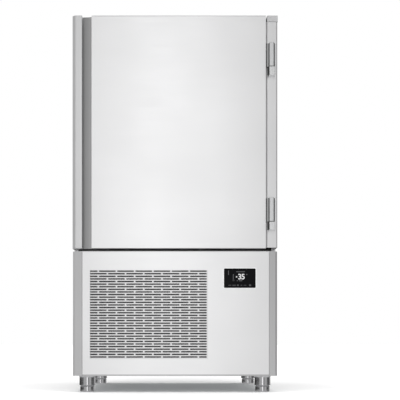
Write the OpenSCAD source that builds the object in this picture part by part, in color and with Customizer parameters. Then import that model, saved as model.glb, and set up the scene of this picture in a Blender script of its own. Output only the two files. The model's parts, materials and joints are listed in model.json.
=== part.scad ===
// Reach-in blast chiller: an insulated tray cabinet with a full-height door,
// standing over a machine compartment with a slotted front.
// Axes: +X to the right seen from the front, the front towards -Y, +Z up.
// Origin: on the floor, at the centre of the overall box. All lengths in mm.

/* [Cabinet] */
// Overall width
cabinet_w = 790; // [780:1:830]
// Overall depth, from the hinge blocks to the back
cabinet_d = 800; // [780:1:860]
// Overall height, floor to top
cabinet_h = 1450; // [1445:1:1500]
// Clear height under the cabinet
foot_h = 64; // [56:1:80]
// Height of the machine compartment
machine_h = 480; // [475:1:500]
// Distance from the outer faces to the chamber
wall_t = 60; // [52:1:64]
// Thickness of the outer sheets
sheet_t = 1.2; // [1:0.1:1.8]
// Thickness of the chamber lining
liner_t = 1; // [0.8:0.1:1.5]
// Radius of the lining's long corners
liner_r = 25; // [12:1:30]
// Height of the top cover's skirt
lid_h = 25; // [20:1:32]
// Width of the casing's front returns
return_w = 16; // [13:1:20]
// Thickness of the black front frame
trim_t = 6; // [4:1:10]
// How far the back panels lie inside the rear edges
back_inset = 3.5; // [3:0.5:6]

/* [Door] */
// Thickness of the door
door_t = 65; // [60:1:75]
// Gap between door and lower section
door_gap = 10; // [8:1:14]
// Thickness of the gasket
gasket_t = 10; // [8:1:12]
// Width of the gasket
gasket_w = 11; // [9:0.5:12]
// Width of the grip's lip, seen from the front
lip_w = 38; // [32:1:44]
// Width of the finger recess, seen from the front
recess_w = 36; // [32:1:44]
// Depth of the finger recess beside the lip
recess_depth = 22; // [18:1:26]
// Wall of the grip profile
grip_t = 3; // [2:0.5:4]
// Thickness of the grip's end caps
end_cap_t = 3; // [2:0.5:5]
// Height of the pressed field on the inner panel
field_h = 4; // [2:0.5:6]

/* [Hinges] */
// Width of the hinge post
post_w = 40.5; // [38:0.5:46]
// Gap between the door's edge and the post
post_gap = 4.1; // [3.8:0.1:6]
// How far the post's face lies behind the door's face
post_recess = 4; // [3.5:0.5:8]
// Wall of the hinge post
post_t = 2; // [1.5:0.5:3]
// Height of the post's top cap
post_cap_h = 23; // [15:1:30]
// How far the hinge blocks stand out from the door's face
hinge_proud = 24; // [22:1:28]
// Width of a hinge block
hinge_w = 27; // [26:0.5:28]
// Height of the door's hinge block
door_block_h = 90; // [75:1:100]
// Height of the post's hinge block
frame_block_h = 32; // [28:1:40]
// Distance from the top to the upper hinge's joint
hinge_top = 200.5; // [160:0.5:260]
// Distance from the door's lower edge to the lower hinge's joint
hinge_low = 102.5; // [80:0.5:200]
// Diameter of the hinge pins
pin_d = 8; // [6:0.5:9]
// Thickness of the hinge washers
washer_t = 1.5; // [1:0.25:2.5]
// Radial play of the pins in the door's blocks
pin_play = 0.05; // [0.02:0.01:0.1]

/* [Chamber] */
// Distance from the chamber's walls to the rack posts
rack_gap = 20; // [14:1:26]
// Depth of a tray
tray_d = 400; // [380:1:405]
// Number of tray levels
tray_levels = 10; // [4:1:10]
// Height of the lowest tray level above the chamber's floor
tray_foot = 52; // [44:1:60]
// Height left free above the highest tray's space
tray_head = 34; // [26:1:60]
// Width of the shelf that carries a tray's edge
runner_w = 18; // [14:1:24]
// Height of a runner's upright leg
runner_h = 12; // [8:1:16]
// Width of a square rack post
rack_post_w = 12; // [10:1:15]
// Distance from the chamber's back to the fan panel
plenum_d = 190; // [185:1:200]
// Diameter of the evaporator fans
evap_fan_d = 280; // [240:1:300]
// Depth of the evaporator
evap_d = 100; // [90:1:102]
// Inside diameter of the drain pipe
drain_d = 22; // [16:1:26]

/* [Lower section] */
// Width of the left corner band, seen from the front
band_left_w = 38; // [34:1:44]
// Width of the right corner band, seen from the front
band_right_w = 33; // [30:1:40]
// Slant of the corner bands to the front
band_slant = 22; // [15:1:30]
// Radius where the bands turn into the sides
band_r = 16; // [10:1:18]
// Depth of the front panel's edges
panel_edge = 18; // [14:1:22]
// How far the machine compartment's back lies inside the rear edges
vent_inset = 32; // [30:1:45]

/* [Slot grille] */
// Rows of slots
slot_rows = 34; // [10:2:34]
// Whole slots in a row
slot_cols = 6; // [2:1:6]
// Metal between two slots of a row
slot_bar = 5.5; // [4:0.5:12]
// Height of a slot
slot_h = 5; // [3:0.5:6]
// Distance from one row to the next
row_pitch = 10; // [8:0.5:10]
// Distance from the cabinet's left side to the grille
grille_left = 67.5; // [60:0.5:75]
// Distance from the cabinet's right side to the grille
grille_right = 267.5; // [260:0.5:300]
// Height of the lowest row above the compartment's bottom
grille_low = 73; // [60:1:78]

/* [Display] */
// Width of the display glass
display_w = 122; // [110:1:126]
// Height of the display glass
display_h = 75; // [65:1:80]
// Corner radius of the display glass
display_r = 4; // [2:0.5:8]
// Distance from the cabinet's right side to the display's centre
display_right = 146; // [140:1:150]
// Distance from the compartment's top to the display's centre
display_drop = 104; // [90:1:120]

/* [Machine] */
// Diameter of the compressor
compressor_d = 200; // [170:1:210]
// Height of the compressor
compressor_h = 290; // [240:1:320]
// Height of the condenser
condenser_h = 370; // [330:1:380]
// Depth of the condenser
condenser_d = 45; // [35:1:50]
// Diameter of the condenser fan
cond_fan_d = 300; // [260:1:310]
// Diameter of the liquid receiver
receiver_d = 110; // [90:1:120]
// Height of the liquid receiver
receiver_h = 250; // [200:1:280]
// Diameter of the suction pipe
suction_d = 22; // [16:1:24]
// Diameter of the liquid pipe
liquid_d = 12; // [8:1:12]
// Diameter of the cable gland's bore
gland_bore_d = 12; // [8:1:14]

/* [Feet] */
// Diameter of a foot's sleeve
sleeve_d = 62; // [56:1:66]
// Diameter of a foot's turned sole
sole_d = 56; // [50:1:58]
// Height of the sole below the sleeve
sole_h = 25; // [20:1:30]
// Distance from the sides to the feet
foot_side = 52; // [48:1:60]
// Distance from the door's face to the front feet
foot_front = 66; // [60:1:80]
// Distance from the back to the rear feet
foot_back = 80; // [70:1:90]

/* [Hidden] */
$fn = 48;
e = 1; // overshoot of a cut

// main planes
half_w = cabinet_w / 2;
back_y = cabinet_d / 2;
door_y = -cabinet_d / 2 + hinge_proud; // face of the door and the lower section
door_back = door_y + door_t;
case_y = door_back + gasket_t;         // front of the insulated case
case_z = foot_h + machine_h;
door_z = case_z + door_gap;
lid_z = cabinet_h - lid_h;
back_panel_y = back_y - back_inset - sheet_t;
chamber_hw = half_w - wall_t;
chamber_z0 = case_z + wall_t;
chamber_z1 = cabinet_h - wall_t;
chamber_h = chamber_z1 - chamber_z0;
chamber_y0 = case_y + trim_t;
chamber_y1 = back_y - wall_t;
chamber_mid_z = (chamber_z0 + chamber_z1) / 2;
soft_gap = 0.3;                        // air between the gasket and the frame at rest
seam = 0.6;                            // gap beside panels that come off
rib_rows = [0.34, 0.68];               // places of the back panel's pressed lines in its height
rib_side = 90;
rib_h = 10;
gasket_foot = 3;                       // thickness of the gasket's broad base
gasket_in = 1.5;                       // from the chamber's edge to the base
field_edge = 10;                       // from the chamber's walls to the door's pressed field

// door and hinges
post_x1 = half_w - 1;
post_x0 = post_x1 - post_w;
door_x1 = post_x0 - post_gap;          // the door's hinged edge
post_y = door_y + post_recess;
post_z0 = door_z + 4;
post_edge_r = 4;
cap_r = 2.5;                           // corners of the post's cap
cap_plug_h = 15;                       // the part of the cap inside the post
cap_plug_r = 3;
cap_plug_gap = 0.1;
block_inset = 10;                      // from the post's right edge to the hinge blocks
hinge_z = [door_z + hinge_low, cabinet_h - hinge_top];
lip_x = -half_w + lip_w;
skin_x0 = lip_x + recess_w;
grip_back = door_back - sheet_t;
lip_slant_x = 11;                      // slanted outer edge of the lip
lip_slant_y = 9;
lip_end_r = 2;
under_back = 14;                       // the undercut reaches this far behind the lip
under_r = 6;
rise_w = 10;                           // the recess's floor rises towards the skin
rise = 6;
block_y0 = -cabinet_d / 2;
block_y1 = door_y - 3.5;
block_x1 = post_x1 - block_inset;
block_x0 = block_x1 - hinge_w;
axis_x = block_x1 - hinge_w / 2;
axis_y = (block_y0 + block_y1) / 2 - 3;
block_slant_l = 4.4;                   // the door's block is narrower at its face
block_slant_r = 7.5;
block_round = 1;
bush_w = 5.5;                          // wear strip beside the post's block
bush_d = 14;
bush_in = 2;                           // the strip lies this far behind the block's face
bush_end = 1;
strip_x0 = block_x0 - 2.5;
frame_block_x0 = strip_x0 + bush_w;
frame_block_x1 = block_x1 - 2;
frame_block_r = 2;
washer_rim = 3;
washer_gap = 0.1;
bridge_t = 4.5;                        // plate between the block and the door's edge
bridge_in = 2;
leaf_t = 3;
leaf_l = 45;
pin_deep = 22;
pin_high = 58;
pin_fit = 0.02;                        // radial play of a pin in the post's block
pin_tip = 1.5;
pin_end_gap = 2;

// chamber fittings
runner_t = 1.5;
rack_x = chamber_hw - rack_gap - rack_post_w; // inner face of the rack posts
tray_pitch = (chamber_h - tray_foot - tray_head) / tray_levels;
tray_y0 = chamber_y0 + 12;
first_level_z = chamber_z0 + tray_foot;
rack_end = 20;                         // from a tray's ends to the outer rack posts
rack_post_y = [tray_y0 + rack_end, tray_y0 + tray_d / 2, tray_y0 + tray_d - rack_end];
rack_stand = 12;                       // rack posts end this far from floor and ceiling
peg_inset = 60;                        // pegs lie this far from floor and ceiling
peg_d = 10;
fan_panel_y = chamber_y1 - plenum_d;
panel_side = 35;                       // from the fan panel to the side walls
panel_lip = 20;                        // depth of the fan panel's edges
fan_panel_hw = chamber_hw - panel_side;
fan_z = [chamber_mid_z - chamber_h / 4, chamber_mid_z + chamber_h / 4];
fan_gap = 5;                           // air around a blade's tip
impeller_h = 38;
hub_d = 70;
hub_wall = 5;
hub_rim = 6;
hub_pocket = 8;
blade_root = 40;
blade_tip = 72;
blade_r = 130;                         // radius of a blade's camber
blade_t = 2;
blades = 5;
blade_pitch = 24;
blade_lift = 2;
impeller_in = 3;                       // from a fan's front plane to its impeller
shaft_d = 8;
shaft_play = 0.05;
motor_d = 76;
motor_l = 30;
motor_grooves = 18;
groove_w = 3;
groove_deep = 2;
motor_collar = 6;
shaft_from = 6;
bar_w = 22;
bar_t = 3;
bar_y = 46;                            // from a fan's front plane to its bracket bar
bar_over = 16;                         // from a fan's opening to the bracket's leg
guard_rings = 7;
guard_pitch = 17;
guard_wire = 2.5;
guard_spoke = 3;
guard_over = 8;                        // from a fan's opening to the outermost ring
guard_stand = 10;                      // from the fan panel to the guard's face
guard_foot_d = 5;
evap_y1 = chamber_y1 - 8;
evap_hw = chamber_hw - 50;
evap_z0 = chamber_z0 + 60;
evap_h = chamber_h - 120;
tube_d = 12;
tube_play = 0.05;
tube_rows = 10;                        // of the evaporator
condenser_rows = 8;
fin_pitch = 24;
fin_t = 1;
fin_end = 5;                           // from the end plates to the first fin
end_plate_t = 2;
pan_h = 30;
pan_front = 24;                        // from the fan panel to the drip pan
pan_back = 2;
drain_x = 120;
drain_y = chamber_y1 - 70;
drain_out_z = case_z - 60;
pipe_wall = 3;
coil_near = 0.27;                      // places of a coil's two tube columns in its depth
coil_far = 0.73;
coil_end = 6;                          // straight tube beyond the end plates
liquid_y = evap_y1 - evap_d * (1 - coil_far);
suction_y = evap_y1 - evap_d / 2;
suction_x = -chamber_hw + 18;
suction_over = 36;                     // the suction pipe's level above the compressor

// lower section
deck_t = 2;
base_t = 2;
base_edge = 38;
base_z = foot_h + base_t;              // where everything in the compartment stands
deck_z = case_z - deck_t;
front_left_x = -half_w + band_left_w;
front_right_x = half_w - band_right_w;
base_y0 = door_y + panel_edge + 8;
vent_y = back_y - vent_inset;
louvre_w = 180;
louvre_rows = 9;
louvre_low = 110;                      // from the compartment's bottom to the lowest louvre
louvre_pitch = 32;
louvre_x = [-half_w * 0.3, half_w * 0.35];
louvre_h = 8;
hood_out = 9;
hood_drop = 8;
side_flange = 20;                      // flange of the side panels behind the back panel
return_gap = 0.4;
base_y1 = vent_y - sheet_t;
base_hw = half_w - sheet_t;
frame_w = 30;
frame_t = 2;
panel_t = 1.5;
panel_z1 = deck_z - seam;
grille_x0 = -half_w + grille_left;
grille_w = cabinet_w - grille_left - grille_right;
slot_pitch = grille_w / (slot_cols + 0.5);
slot_l = slot_pitch - slot_bar;
grille_z0 = foot_h + grille_low;
short_slot = slot_l - slot_pitch / 2;
display_x = half_w - display_right;
display_z = case_z - display_drop;
bezel = 1.8;
glass_play = 0.3;
glass_t = 5;
cutout_gap = 0.5;                      // air round the display's housing
rim_t = 11.5;                          // depth of the housing's rim
flange_over = 8;                       // the housing's flange behind the panel
flange_t = 3;
flange_r = 4;
tub_over = 1;
tub_d = 22;
tub_wall = 4;
tub_in = 16;                           // depth of the tub behind the glass
board_gap = 0.2;
board_y = 14.4;                        // from the glass to the control board
board_t = 1.6;
filter_t = 8;
filter_frame = 12;
filter_cols = 12;
filter_rows = 10;
filter_wire = 2;
filter_wire_t = 1.5;
condenser_w = grille_w - 5;
condenser_x = grille_x0 + grille_w / 2;
condenser_y = door_y + panel_edge + filter_t + 4;
condenser_z = base_z + 36;
shroud_d = 55;
shroud_y = condenser_y + condenser_d;
shroud_foot_w = 20;
ring_in = 14;                          // from the shroud's back to the ring's front edge
ring_l = 26;
ring_t = 1.5;
cond_fan_y = shroud_y + shroud_d - ring_in;
cond_fan_z = condenser_z + condenser_h / 2;
compressor_side = 180;                 // from the cabinet's right side and back
compressor_back = 250;
compressor_x = half_w - compressor_side;
compressor_y = back_y - compressor_back;
shell_z = 14;
shell_foot = 4;
seam_at = 0.55;                        // place of the shell's welded seam in its height
seam_over = 3;
seam_h = 8;
stub_wall = 3;
stub_h = 30;
plate_over = 15;
plate_t = 5;
terminal_box = [60, 64, 84];
terminal_out = 34;
terminal_z = 90;
mount_h = 15;
pipe_stub_y = 40;
bend_ratio = 1.5;                      // a tube's bend radius over its diameter
mount_d = 30;
mount_neck_d = 22;
mount_rim = 0.35;
receiver_side = 185;                   // from the cabinet's left side and back
receiver_back = 210;
receiver_x = -half_w + receiver_side;
receiver_y = back_y - receiver_back;
receiver_z = 20;
receiver_neck = 16;
receiver_ring = 0.8;
receiver_ring_h = 30;
drier_up = 330;
drier_z = base_z + drier_up;
drier_d = 46;
drier_l = 90;
drier_cone = 14;
drier_x = receiver_x + 90;
drier_out_x = drier_x + drier_l + drier_cone + 20;
stub_l = 10;
box_side = 230;                        // from the cabinet's right side and the door's face
box_front = 60;
box_x = half_w - box_side;
box_y = door_y + box_front;
cover_t = 12;                          // the box's cover stands out, with a seam behind it
cover_seam = 2;
cover_seam_in = 1.5;
box_w = 190;
box_d = 90;
box_h = 250;
gland_side = 105;
gland_up = 60;
gland_x = -half_w + gland_side;
gland_z = base_z + gland_up;
gland_thread_d = 20;
gland_thread_l = 10;                   // thread inside the compartment
gland_nut_d = 31;
gland_nut_h = 6;
gland_hex_h = 7;
gland_cap_d = 26;
gland_tip_d = 18;
gland_tip = 4;
gland_l = 24;
screw_d = 9;
screw_h = 2.6;
screw_slope = 1;
screw_socket = 4.6;
screw_in = 12;                         // from the sheets' edges to the screws

// feet
foot_x = half_w - foot_side;
foot_y = [door_y + foot_front, back_y - foot_back];
sleeve_h = foot_h - sole_h;
stem_d = 20;
stem_play = 0.08;
stem_l = 32;
stem_room = 4;
flare_h = 6;
flare = 3;
sole_edge = 3;
sole_slope = 2.5;
sole_gap = 0.1;

// ---- helpers ----

// a box between two opposite corners
module block(a, b) translate(a) cube(b - a);

// what is drawn in plan X, Z becomes a plate from y to y + t
module plate(y, t) translate([0, y + t, 0]) rotate([90, 0, 0]) linear_extrude(t) children();

module both_sides() for (m = [0, 1]) mirror([m, 0, 0]) children();

module rounded_rect(w, h, r) {
    square([w - 2 * r, h], center = true);
    square([w, h - 2 * r], center = true);
    for (x = [-1, 1], y = [-1, 1])
        translate([x * (w / 2 - r), y * (h / 2 - r)]) circle(r);
}

// a round slot, its left end at the origin
module slot(l, h) {
    translate([h / 2, -h / 2]) square([l - h, h]);
    for (x = [h / 2, l - h / 2]) translate([x, 0]) circle(h / 2);
}

module frame_rect(w, h, t) difference() {
    square([w, h], center = true);
    square([w - 2 * t, h - 2 * t], center = true);
}

// an L-shaped bar standing on end, its corner at the origin
module angle_bar(w, t, h) linear_extrude(h) union() {
    square([w, t]);
    square([t, w]);
}

// points of an arc about c
function arc(c, r, a0, a1, steps = 6) =
    [for (i = [0:steps]) let (a = a0 + (a1 - a0) * i / steps) c + r * [cos(a), sin(a)]];

// ---- insulated case ----

module outer_casing() color("silver") {
    difference() {
        block([-half_w, case_y, case_z], [half_w, back_y, lid_z]);
        block([-half_w + sheet_t, case_y - e, case_z + sheet_t], [half_w - sheet_t, back_y + e, lid_z + e]);
        pipe_holes(case_z);
    }
    both_sides() {
        block([half_w - return_w, case_y, case_z], [half_w, case_y + sheet_t, lid_z]);
    }
}

module top_cover() color("silver") difference() {
    block([-half_w, case_y, lid_z], [half_w, back_y, cabinet_h]);
    block([-half_w + sheet_t, case_y + sheet_t, lid_z - e],
        [half_w - sheet_t, back_y - sheet_t, cabinet_h - sheet_t]);
}

module back_panel() color("silver") difference() {
    block([-half_w + sheet_t, back_panel_y, case_z + sheet_t],
        [half_w - sheet_t, back_panel_y + sheet_t, lid_z]);
    // shallow pressed lines stiffen the sheet
    for (f = rib_rows) let (z = case_z + f * (lid_z - case_z))
        block([-half_w + rib_side, back_panel_y + sheet_t / 2, z],
            [half_w - rib_side, back_panel_y + sheet_t + e, z + rib_h]);
}

// the chamber's section, grown by g
module chamber_section(g) translate([0, chamber_mid_z])
    rounded_rect(2 * (chamber_hw + g), chamber_h + 2 * g, liner_r + g);

module pipe_holes(z) {
    translate([drain_x, drain_y, z - e]) cylinder(d = drain_d + 2 * pipe_wall, h = wall_t + 2 * e);
    translate([suction_x, suction_y, z - e]) cylinder(d = suction_d, h = wall_t + 2 * e + liner_r);
    translate([suction_x, liquid_y, z - e]) cylinder(d = liquid_d, h = wall_t + 2 * e + liner_r);
}

module cabinet_insulation() color("khaki") difference() {
    block([-half_w + sheet_t, case_y + sheet_t, case_z + sheet_t],
        [half_w - sheet_t, back_panel_y, cabinet_h - sheet_t]);
    block([-half_w + return_w, case_y, case_z], [half_w - return_w, chamber_y0, lid_z]);
    plate(case_y, chamber_y1 + liner_t - case_y) chamber_section(liner_t);
    pipe_holes(case_z);
}

module chamber_liner() color("gainsboro") difference() {
    plate(chamber_y0, chamber_y1 + liner_t - chamber_y0) chamber_section(liner_t);
    plate(chamber_y0 - e, chamber_y1 - chamber_y0 + e) chamber_section(0);
    pipe_holes(case_z);
}

module door_frame_trim() color("black") plate(case_y, trim_t) difference() {
    translate([-half_w + return_w, case_z + sheet_t])
        square([cabinet_w - 2 * return_w, lid_z - case_z - sheet_t]);
    chamber_section(0);
}

// ---- hinge post and hinges ----

// post section with rounded front edges, shrunk by i
module post_section(i) {
    x0 = post_x0 + i;
    x1 = post_x1 - i;
    y0 = post_y + i;
    r = post_edge_r - i;
    translate([x0, y0 + r]) square([x1 - x0, case_y - y0 - r]);
    translate([x0 + r, y0]) square([x1 - x0 - 2 * r, r]);
    for (x = [x0 + r, x1 - r]) translate([x, y0 + r]) circle(r);
}

module hinge_post() color("silver") difference() {
    translate([0, 0, post_z0]) linear_extrude(cabinet_h - post_cap_h - post_z0) post_section(0);
    translate([0, 0, post_z0 + post_t]) linear_extrude(cabinet_h) union() {
        post_section(post_t);
        translate([post_x0 + post_t, case_y - e]) square([post_w - 2 * post_t, 2 * e]);
    }
}

module hinge_post_cap() color("darkgray") {
    translate([(post_x0 + half_w) / 2, (door_y + case_y) / 2, cabinet_h - post_cap_h])
        linear_extrude(post_cap_h) rounded_rect(half_w - post_x0, case_y - door_y, cap_r);
    translate([(post_x0 + post_x1) / 2, (post_y + case_y) / 2, cabinet_h - post_cap_h - cap_plug_h])
        linear_extrude(cap_plug_h + e) rounded_rect(post_w - 2 * (post_t + cap_plug_gap),
            case_y - post_y - 2 * (post_t + 2 * cap_plug_gap), cap_plug_r);
}

// section of the post's hinge block, with round front edges
module frame_block_section(x0, x1, y0, y1, r) polygon(concat(
    arc([x0 + r, y0 + r], r, 180, 270, 3), arc([x1 - r, y0 + r], r, 270, 360, 3), [[x1, y1], [x0, y1]]));

// section of the door's hinge block: slanted sides towards a narrower face
module door_block_section() polygon([[block_x0, block_y1], [block_x0 + block_slant_l, block_y0 + block_round],
    [block_x0 + block_slant_l + block_round, block_y0], [block_x1 - block_slant_r - block_round, block_y0],
    [block_x1 - block_slant_r, block_y0 + block_round], [block_x1, block_y1]]);

module at_hinges() for (z = hinge_z) translate([0, 0, z]) children();

module hinge_frame_blocks() color("lightgray") at_hinges() difference() {
    translate([0, 0, -washer_t - frame_block_h]) linear_extrude(frame_block_h)
        frame_block_section(frame_block_x0, frame_block_x1, block_y0, post_y, frame_block_r);
    translate([axis_x, axis_y, -washer_t - pin_deep]) cylinder(d = pin_d + 2 * pin_fit, h = pin_deep + e);
}

module hinge_bushes() color("black") at_hinges() {
    // wear strip beside the post's block
    translate([strip_x0, block_y0 + bush_in + bush_w / 2, -washer_t - frame_block_h + bush_end])
        linear_extrude(frame_block_h - 1.5 * bush_end) union() {
        square([bush_w, bush_d]);
        translate([bush_w / 2, 0]) circle(bush_w / 2);
    }
    translate([axis_x, axis_y, -washer_t]) difference() {
        cylinder(d = pin_d + 2 * washer_rim, h = washer_t - washer_gap);
        translate([0, 0, -e]) cylinder(d = pin_d + 2 * pin_play, h = washer_t + 2 * e);
    }
}

module hinge_pins() color("gray") at_hinges() translate([axis_x, axis_y, -washer_t - pin_deep]) {
    shank = pin_deep + washer_t + pin_high - pin_end_gap;
    cylinder(d = pin_d, h = shank);
    translate([0, 0, shank]) cylinder(d1 = pin_d, d2 = pin_d - 2 * pin_tip, h = pin_tip);
}

module hinge_door_blocks() color("lightgray") at_hinges() difference() {
    union() {
        linear_extrude(door_block_h) door_block_section();
        // bridge over the gap, and the leaf on the door's edge
        block([door_x1, block_y1 - bridge_t, 0], [block_x0 + bridge_in, block_y1, door_block_h]);
        block([door_x1, block_y1 - bridge_t, 0], [door_x1 + leaf_t, door_y + leaf_l, door_block_h]);
    }
    translate([axis_x, axis_y, -e]) cylinder(d = pin_d + 2 * pin_play, h = pin_high + e);
}

// ---- door ----

// Outline of the grip in plan: slanted lip, undercut, and a floor rising to the skin
function grip_outline() = let (floor_y = door_y + recess_depth, under_x = lip_x - under_back,
        under_y = door_y + 2.5 * lip_end_r)
    concat([[-half_w, grip_back], [-half_w, door_y + lip_slant_y], [-half_w + lip_slant_x, door_y]],
        arc([lip_x - lip_end_r, door_y + lip_end_r], lip_end_r, -90, 90, 6),
        [[under_x, under_y]], arc([under_x, under_y + under_r], under_r, 270, 180, 5),
        arc([under_x, floor_y - under_r], under_r, 180, 90, 5),
        [[skin_x0 - rise_w, floor_y - rise / 2], [skin_x0, floor_y - rise], [skin_x0, grip_back]]);

// The hollow in the lip's root, a wall's thickness inside the outline
function lip_hollow() = let (l = norm([lip_slant_x, lip_slant_y]), k = lip_slant_x * lip_slant_y + grip_t * l,
        x1 = lip_x - under_back - under_r - grip_t)
    [[-half_w + grip_t, door_y + recess_depth],
        [-half_w + grip_t, door_y + (k - lip_slant_y * grip_t) / lip_slant_x],
        [-half_w + (k - lip_slant_x * grip_t) / lip_slant_y, door_y + grip_t],
        [x1, door_y + grip_t], [x1, door_y + recess_depth]];

module door_grip_profile() color("silver")
    translate([0, 0, door_z + end_cap_t]) linear_extrude(cabinet_h - door_z - 2 * end_cap_t) difference() {
        polygon(grip_outline());
        // hollow chambers behind the recess and in the lip's root
        translate([-half_w + grip_t, door_y + recess_depth + grip_t])
            square([lip_w + recess_w - 2 * grip_t, grip_back - door_y - recess_depth - 2 * grip_t]);
        polygon(lip_hollow());
    }

module door_end_caps() color("gray") for (z = [door_z, cabinet_h - end_cap_t])
    translate([0, 0, z]) linear_extrude(end_cap_t) polygon(grip_outline());

module door_skin() color("gainsboro") difference() {
    block([skin_x0, door_y, door_z], [door_x1, door_back, cabinet_h]);
    block([skin_x0 + sheet_t, door_y + sheet_t, door_z + sheet_t],
        [door_x1 - sheet_t, door_back + e, cabinet_h - sheet_t]);
    // the left return ends on the grip's floor
    block([skin_x0 - e, door_y + recess_depth - rise, door_z - e],
        [skin_x0 + sheet_t + e, door_back + e, cabinet_h + e]);
}

// the inner panel's pressed field, shrunk by g
module inner_field(g) block(
    [-chamber_hw + field_edge + g, door_back - sheet_t - e, chamber_z0 + field_edge + g],
    [chamber_hw - field_edge - g, door_back + field_h - g, chamber_z1 - field_edge - g]);

module door_foam() color("khaki") {
    block([skin_x0 + sheet_t, door_y + sheet_t, door_z + sheet_t],
        [door_x1 - sheet_t, door_back - sheet_t, cabinet_h - sheet_t]);
    intersection() {
        inner_field(sheet_t);
        block([skin_x0 + sheet_t, door_back - sheet_t - e, 0], [half_w, case_y, cabinet_h]);
    }
}

module door_inner_panel() color("gainsboro") difference() {
    union() {
        block([-half_w + 1, door_back - sheet_t, door_z + sheet_t],
            [door_x1 - sheet_t, door_back, cabinet_h - sheet_t]);
        intersection() {
            inner_field(0);
            block([-half_w, door_back - sheet_t, 0], [half_w, case_y, cabinet_h]);
        }
    }
    intersection() {
        inner_field(sheet_t);
        block([-half_w, door_back - sheet_t - e, 0], [half_w, case_y, cabinet_h]);
    }
}

module gasket_ring(y, t, g0, g1) plate(y, t) translate([0, chamber_mid_z])
    frame_rect(2 * (chamber_hw + g1), chamber_h + 2 * g1, g1 - g0);

module door_gasket() color("dimgray") {
    gasket_ring(door_back, gasket_foot, gasket_in, gasket_in + gasket_w);
    gasket_ring(door_back + gasket_foot, gasket_t - gasket_foot - soft_gap, 2 * gasket_in, gasket_w);
}

// ---- tray racks ----

module rack_posts() color("silver") both_sides() for (y = rack_post_y) {
    block([rack_x, y - rack_post_w / 2, chamber_z0 + rack_stand],
        [rack_x + rack_post_w, y + rack_post_w / 2, chamber_z1 - rack_stand]);
    // pegs to the wall
    for (z = [chamber_z0 + peg_inset, chamber_z1 - peg_inset])
        translate([rack_x + rack_post_w, y, z]) rotate([0, 90, 0])
            cylinder(d = peg_d, h = rack_gap);
}

module tray_runners() color("silver") both_sides()
    for (i = [0:tray_levels - 1]) translate([rack_x, tray_y0, first_level_z + i * tray_pitch]) {
        block([-runner_w, 0, 0], [0, tray_d, runner_t]);
        block([-runner_t, 0, 0], [0, tray_d, runner_h]);
    }

// ---- fans ----

// Axial impeller about Z with cambered blades, standing on z = 0
module impeller(d, h) difference() {
    union() {
        cylinder(d = hub_d, h = h);
        for (i = [0:blades - 1]) rotate(i * 360 / blades) intersection() {
            difference() {
                cylinder(d = d, h = h);
                translate([0, 0, -e]) cylinder(d = hub_d - 2 * hub_wall, h = h + 2 * e);
            }
            // a blade's plan widens from the hub to the tip
            linear_extrude(h) polygon([[0, -blade_root / 2], [d / 2 + e, -blade_tip / 2],
                [d / 2 + e, blade_tip / 2],
                [0, blade_root / 2]]);
            translate([0, 0, h / 2 + blade_lift]) rotate([blade_pitch, 0, 0]) translate([0, 0, -blade_r])
                rotate([0, 90, 0]) difference() {
                cylinder(r = blade_r + blade_t, h = d);
                translate([0, 0, -e]) cylinder(r = blade_r, h = d + 2 * e);
            }
        }
    }
    translate([0, 0, -e]) cylinder(d = shaft_d + 2 * shaft_play, h = h + 2 * e);
    translate([0, 0, h - hub_pocket]) cylinder(d = hub_d - 2 * hub_rim, h = hub_pocket + e);
}

// an impeller's place: the front plane of its ring at y, the axis along Y
module at_fan(y, z, x = 0) translate([x, y, z]) rotate([-90, 0, 0]) children();

module fan_motor() {
    translate([0, 0, bar_y + bar_t]) difference() {
        cylinder(d = motor_d, h = motor_l);
        for (i = [0:motor_grooves - 1]) rotate(i * 360 / motor_grooves)
            translate([motor_d / 2 - groove_deep, -groove_w / 2, motor_collar])
            cube([2 * groove_deep, groove_w, motor_l]);
    }
    translate([0, 0, shaft_from]) cylinder(d = shaft_d, h = bar_y + bar_t - shaft_from);
}

// a flat bar across a fan's opening, with legs to the plate at z = z0
module motor_bracket(d, z0) difference() {
    hw = d / 2 + bar_over;
    union() {
        translate([-hw, -bar_w / 2, bar_y]) cube([2 * hw, bar_w, bar_t]);
        for (x = [-hw, hw - bar_t])
            translate([x, -bar_w / 2, z0]) cube([bar_t, bar_w, bar_y - z0 + e]);
    }
    translate([0, 0, bar_y - e]) cylinder(d = shaft_d + 2, h = bar_t + 2 * e);
}

module at_evaporator_fans(y) for (z = fan_z) at_fan(y, z) children();

module fan_panel() color("gainsboro") {
    plate(fan_panel_y, sheet_t) difference() {
        translate([-fan_panel_hw, chamber_z0]) square([2 * fan_panel_hw, chamber_h]);
        for (z = fan_z) translate([0, z]) circle(d = evap_fan_d + 2 * fan_gap, $fn = 96);
    }
    // floor, ceiling and side edges
    for (z = [chamber_z0, chamber_z1 - sheet_t])
        block([-fan_panel_hw, fan_panel_y, z], [fan_panel_hw, fan_panel_y + panel_lip, z + sheet_t]);
    both_sides() block([fan_panel_hw - sheet_t, fan_panel_y, chamber_z0],
        [fan_panel_hw, fan_panel_y + panel_lip, chamber_z1]);
}

module guard_plan() {
    r1 = evap_fan_d / 2 + fan_gap + guard_over;
    band = (guard_rings - 1) * guard_pitch;
    for (i = [0:guard_rings - 1]) let (r = r1 - i * guard_pitch) difference() {
        circle(r, $fn = 96);
        circle(r - guard_wire, $fn = 96);
    }
    for (a = [45:90:315]) rotate(a) translate([r1 - band - 1, -guard_spoke / 2]) square([band, guard_spoke]);
}

module fan_guards() color("silver") for (z = fan_z) {
    plate(fan_panel_y - guard_stand, guard_wire) translate([0, z]) guard_plan();
    // feet of the guard
    r = evap_fan_d / 2 + fan_gap + guard_over - guard_spoke / 2;
    for (a = [45:90:315]) translate([r * cos(a), fan_panel_y, z + r * sin(a)])
        rotate([90, 0, 0]) cylinder(d = guard_foot_d, h = guard_stand - guard_wire + 0.5);
}

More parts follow.
